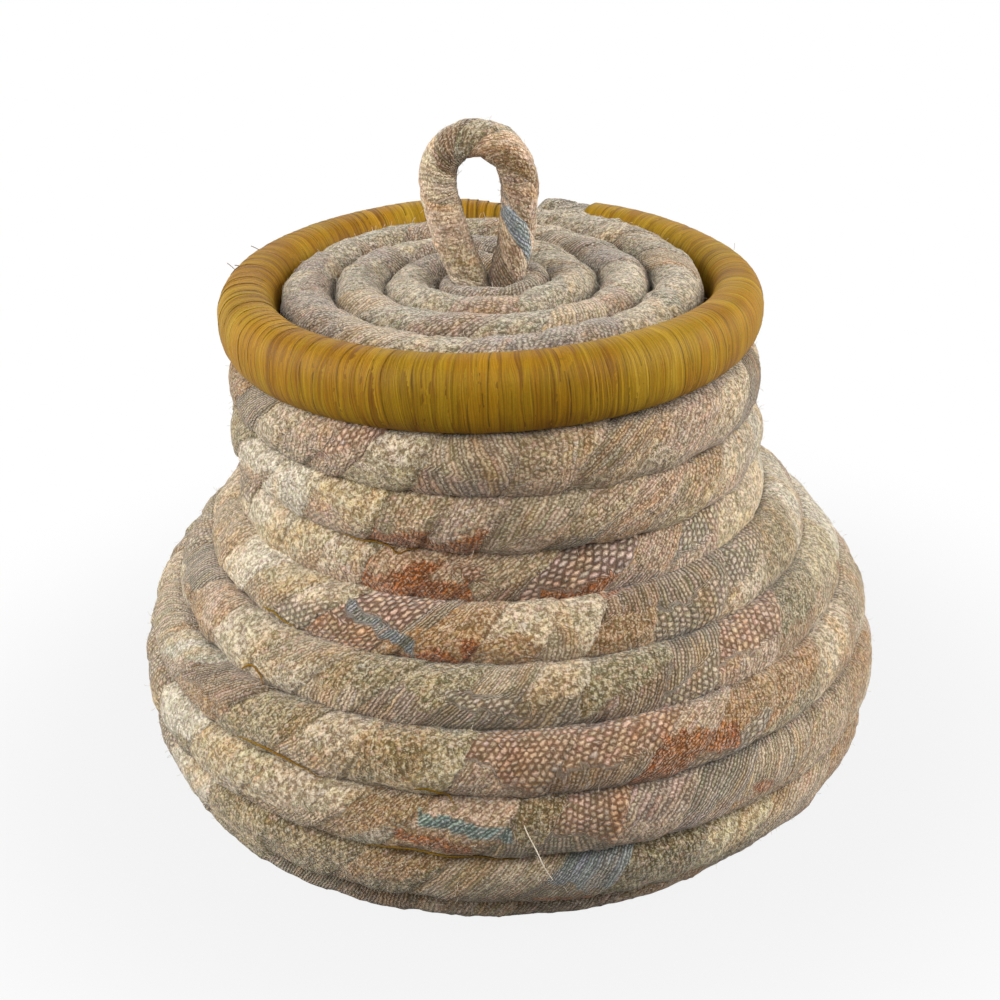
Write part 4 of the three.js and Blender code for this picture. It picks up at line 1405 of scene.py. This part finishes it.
class BASKET_OT_raffia(bpy.types.Operator):
    """Winds raffia round the lid's rim, over a core that shows in the creases between the strands"""

    bl_idname = "basket.wind_raffia"
    bl_label = "Wind the rim"

    def execute(self, context):
        settings = context.scene.basket_settings
        material = raffia_material("Honey raffia", settings)
        path = resampled(rim_path(CORE_REACH), 1.6 * MM)
        form = {
            "Half Width": RIM_WIDTH / 2 - 0.13 * MM,
            "Half Height": RIM_HEIGHT / 2 - 0.13 * MM,
            "Squareness": 2.3,
            "Sides": 48,
            "Lump Depth": 0.1 * MM,
            "Nub Depth": 0.05 * MM,
            "Material": material,
        }
        core = grown("rim_core", polylines("rim_core", [path]), cord_tree(), form)
        rings, sides = len(path["at"]), form["Sides"]
        store(core.data, "across", np.full(rings * sides, 0.4))
        store(core.data, "chance", np.repeat(np.random.default_rng(CORE_SEED).random(rings), sides))
        store(core.data, "round", np.tile(np.abs(np.linspace(-6, 6, sides)), rings))
        settle(core, "lid", "raffia_wrap", "lid_raffia_rim")
        start = polylines("rim_windings", [resampled(rim_path(), 2 * MM)])
        values = {"Step": settings.winding_step, "Material": material}
        settle(grown("rim_windings", start, windings_tree(), values), "lid", "raffia_wrap")
        return {"FINISHED"}


def seam_strand(path, wraps, rng, first, last, below, width):
    """The line of a raffia strand that lies on the wraps, in the join below a row."""
    order = np.argsort(path["turns"])
    places, turns = np.linspace(first, last, 40), path["turns"][order]
    at = interpolated(places, turns, path["at"][order])
    out = unit(interpolated(places, turns, path["outward"][order]))
    down = np.cross(out, unit(np.gradient(at, axis=0)))
    down *= np.sign(-down[:, 2:3])
    share = np.linspace(0, 1, 40)[:, None]
    angle = below * 1.02 - 0.3 * np.sin(share * math.pi * 1.3 + rng.uniform(0, 2)) * rng.uniform(0.3, 1)
    facing = unit(out * np.cos(angle) + down * np.sin(angle))
    spot = at + facing * BODY_RADIUS
    high, reach = 5 * MM, 9 * MM
    for i, (point, way) in enumerate(zip(spot, facing)):
        start = Vector(point + way * high)
        hits = [wrap.ray_cast(start, Vector(-way), distance=reach) for wrap in wraps]
        near = [(where - start).length for found, where, _, _ in hits if found]
        spot[i] = point + way * (high - min(near, default=high) + 0.25 * MM)
    for _ in range(8):
        spot[1:-1] = (spot[:-2] + spot[1:-1] * 2 + spot[2:]) / 4
    spot += facing * 0.15 * MM
    thin = np.sin(np.clip(share[:, 0], 0.04, 0.96) * math.pi) ** 0.35 * width
    return {"at": spot, "outward": facing, "thickness": thin}


def stray_hair(degrees, rise, reach):
    """The line of a raffia hair that stands off the rim."""
    angle = np.radians([degrees])
    root = circle_points(angle, RIM_RADIUS + 8.0 * MM, RIM_CENTRE + 2 * MM)
    out = radial(angle)
    side = out[:, [1, 0, 2]] * (-1, 1, 1)
    t = np.linspace(0, 1, 12)[:, None]
    spot = root + (out * t * 0.6 + np.array([0, 0, 1]) * t * rise + side * 0.7 * t**2) * reach * MM
    return {"at": spot, "outward": np.tile(out, (12, 1)), "thickness": np.full(12, 0.22)}


def lay(name, lines, rng, tree, values, body, slot):
    """One piece of strands along lines, each with its own tone."""
    start = polylines(name, lines)
    counts = [len(line["at"]) for line in lines]
    store(start, "chance", np.concatenate([np.full(count, rng.random()) for count in counts]))
    store(start, "round", np.concatenate([np.linspace(0, 3, count) for count in counts]))
    settle(grown(name, start, tree, values), body, slot)


class BASKET_OT_strands(bpy.types.Operator):
    """Lays loose raffia strands in the seams, a loose thread and stray hairs"""

    bl_idname = "basket.lay_strands"
    bl_label = "Lay the loose strands"

    def execute(self, context):
        path, _ = basket_path()
        rng = np.random.default_rng(STRAND_SEED)
        tree = strand_tree()
        material = raffia_material("Loose raffia", context.scene.basket_settings)
        raffia = {"Width": 1.0 * MM, "Flatness": 0.35, "Material": material}
        wraps = [bpy.data.objects[name] for name in BODY_WRAPS]
        context.view_layer.update()
        lines = [seam_strand(path, wraps, rng, *row) for row in SEAM_STRANDS]
        lay("seam_strands", lines, rng, tree, raffia, "basket", "raffia_wrap")
        lines = [stray_hair(*row) for row in STRAY_HAIRS]
        lay("stray_hairs", lines, rng, tree, raffia, "lid", "raffia_wrap")
        at = through(np.array(LOOSE_THREAD) * MM, 12)
        line = {"at": at, "outward": np.tile([0, -1.0, 0], (len(at), 1)), "thickness": np.ones(len(at))}
        thread = {"Width": 0.3 * MM, "Flatness": 0.9, "Material": fuzz_material()}
        lay("loose_thread", [line], rng, tree, thread, "basket", "body_wrap")
        return {"FINISHED"}


class BASKET_OT_fuzz(bpy.types.Operator):
    """Scatters loose fibres over the fabric"""

    bl_idname = "basket.scatter_fuzz"
    bl_label = "Scatter the fuzz"

    def execute(self, context):
        settings = context.scene.basket_settings
        tree = fuzz_tree()
        material = fuzz_material()
        lid_radius = RIM_RADIUS - RIM_WIDTH / 2
        groups = [
            ("body_fuzz", "basket", "body_wrap", BODY_WRAPS, 0.8, math.inf),
            ("lid_fuzz", "lid", "lid_wrap", ["lid_wrap_coil", "handle_wrap"], 0.2, lid_radius),
        ]
        for name, body, slot, pieces, share, within in groups:
            start = merged(name, [bpy.data.objects[piece].data for piece in pieces], within)
            count = int(settings.fuzz_count * share)
            values = {"Count": count, "Length": settings.fuzz_length, "Material": material}
            settle(grown(name, start, tree, values), body, slot)
        return {"FINISHED"}


def merged(name, meshes, within):
    """One bare mesh with the faces of several that lie within a radius of the lid's middle."""
    points, faces, first = [], [], 0
    for mesh in meshes:
        points.append(points_of(mesh))
        corners = np.zeros(len(mesh.loops), np.int32)
        mesh.loops.foreach_get("vertex_index", corners)
        totals = np.zeros(len(mesh.polygons), np.int32)
        mesh.polygons.foreach_get("loop_total", totals)
        flat = corners[np.repeat(totals == 4, totals)].reshape(-1, 4)
        middle = points[-1][flat[:, 0]] - ORIGIN_SHIFT + np.array([NECK_LEAN, 0, 0])
        faces.append(flat[np.hypot(middle[:, 0], middle[:, 1]) < within] + first)
        first += len(mesh.vertices)
    out = bpy.data.meshes.new(name)
    out.from_pydata(np.concatenate(points), [], np.concatenate(faces))
    return out


class BASKET_OT_stage(bpy.types.Operator):
    """Sets the pale floor, the soft lamps and the camera"""

    bl_idname = "basket.set_stage"
    bl_label = "Set the stage"

    def execute(self, context):
        side, level = 12.0, -0.0002
        mesh = bpy.data.meshes.new("floor")
        corners = [(-side, -side, level), (side, -side, level), (side, side, level), (-side, side, level)]
        mesh.from_pydata(corners, [], [(0, 1, 2, 3)])
        mesh.materials.append(paper_material(context.scene.basket_settings))
        floor = bpy.data.objects.new("floor", mesh)
        context.scene.collection.objects.link(floor)
        set_world(context.scene)
        for name, place, power in LAMPS:
            lamp(name, place, power)
        set_camera(context.scene)
        return {"FINISHED"}


def paper_material(settings):
    """White paper that the camera sees as plain white except where the basket shades it."""
    material, nodes, shader = new_material("White paper")
    nodes.fill(shader, {"Base Color": (0.12, 0.12, 0.12, 1), "Roughness": 0.9})
    distance = nodes.vector("LENGTH", nodes.object_place(), out=1)
    glow = nodes.add("ShaderNodeEmission", {"Color": (*settings.paper, 1), "Strength": 1.0})
    away = nodes.smooth(distance, 0.11, 0.24) * 0.12 + 0.88
    sockets = {0: nodes.seen() * away, 1: Number(nodes, shader.outputs[0]), 2: glow}
    surface = nodes.add("ShaderNodeMixShader", sockets)
    nodes.fill(material.node_tree.nodes["Material Output"], {"Surface": surface})
    return material


def set_world(scene):
    """Even pale light from all round, white where the camera sees it."""
    world = bpy.data.worlds.new("Studio")
    scene.world = world
    world.use_nodes = True
    nodes = Nodes(world.node_tree)
    back = world.node_tree.nodes["Background"]
    nodes.fill(back, {"Color": (1, 1, 1, 1), "Strength": nodes.seen() * 0.86 + 0.14})


def lamp(name, place, power):
    """A square soft lamp that faces the basket."""
    data = bpy.data.lights.new(name, "AREA")
    data.shape = "SQUARE"
    data.size = LAMP_SIZE
    data.energy = power
    thing = bpy.data.objects.new(name, data)
    thing.location = place
    thing.rotation_euler = (Vector(LAMP_AIM) - Vector(place)).to_track_quat("-Z", "Y").to_euler()
    bpy.context.scene.collection.objects.link(thing)


def set_camera(scene):
    """The camera's place, tilt and roll, from the lines of the rows and the rim."""
    data = bpy.data.cameras.new("Camera")
    data.sensor_width = SENSOR_WIDTH
    data.lens = FOCAL_SHARE * SENSOR_WIDTH
    data.clip_start = 0.01
    data.clip_end = 100
    camera = bpy.data.objects.new("Camera", data)
    look = Matrix.Rotation(CAMERA_YAW, 4, "Z")
    look = look @ Matrix.Rotation(math.pi / 2 - CAMERA_TILT, 4, "X") @ Matrix.Rotation(CAMERA_ROLL, 4, "Z")
    camera.matrix_world = Matrix.Translation(Vector(CAMERA_PLACE)) @ look
    scene.collection.objects.link(camera)
    scene.camera = camera
    scene.view_settings.view_transform = "Standard"


STEPS = (
    BASKET_OT_body,
    BASKET_OT_lid,
    BASKET_OT_handle,
    BASKET_OT_raffia,
    BASKET_OT_strands,
    BASKET_OT_fuzz,
    BASKET_OT_stage,
)


class BASKET_PT_panel(bpy.types.Panel):
    """The basket's settings and steps, in order"""

    bl_idname = "BASKET_PT_panel"
    bl_label = "Coiled basket"
    bl_space_type = "VIEW_3D"
    bl_region_type = "UI"
    bl_category = "Basket"

    def draw(self, context):
        settings = context.scene.basket_settings
        for name in BasketSettings.__annotations__:
            self.layout.prop(settings, name)
        for step in STEPS:
            self.layout.operator(step.bl_idname)


CLASSES = (FabricSettings, BasketSettings, *STEPS, BASKET_PT_panel)


def register():
    for cls in CLASSES:
        bpy.utils.register_class(cls)
    bpy.types.Scene.basket_settings = bpy.props.PointerProperty(type=BasketSettings)
    bpy.types.Scene.basket_fabrics = bpy.props.CollectionProperty(type=FabricSettings)


def unregister():
    del bpy.types.Scene.basket_fabrics
    del bpy.types.Scene.basket_settings
    for cls in reversed(CLASSES):
        bpy.utils.unregister_class(cls)


def fill_fabrics(scene):
    """Puts the fabrics' colours and weaves into the settings; the colour between the raised yarns is partly
    painted shade.
    """
    for name, (raised, between, spacing, ribs, fluff) in FABRICS.items():
        fabric = scene.basket_fabrics.add()
        fabric.name = name
        fabric.raised, fabric.between = linear(raised), linear(between)
        fabric.spacing, fabric.ribs, fabric.fluff = spacing * MM, ribs, fluff


def main():
    register()
    fill_fabrics(bpy.context.scene)
    for step in STEPS:
        group, name = step.bl_idname.split(".")
        getattr(getattr(bpy.ops, group), name)()


if __name__ == "__main__":
    main()
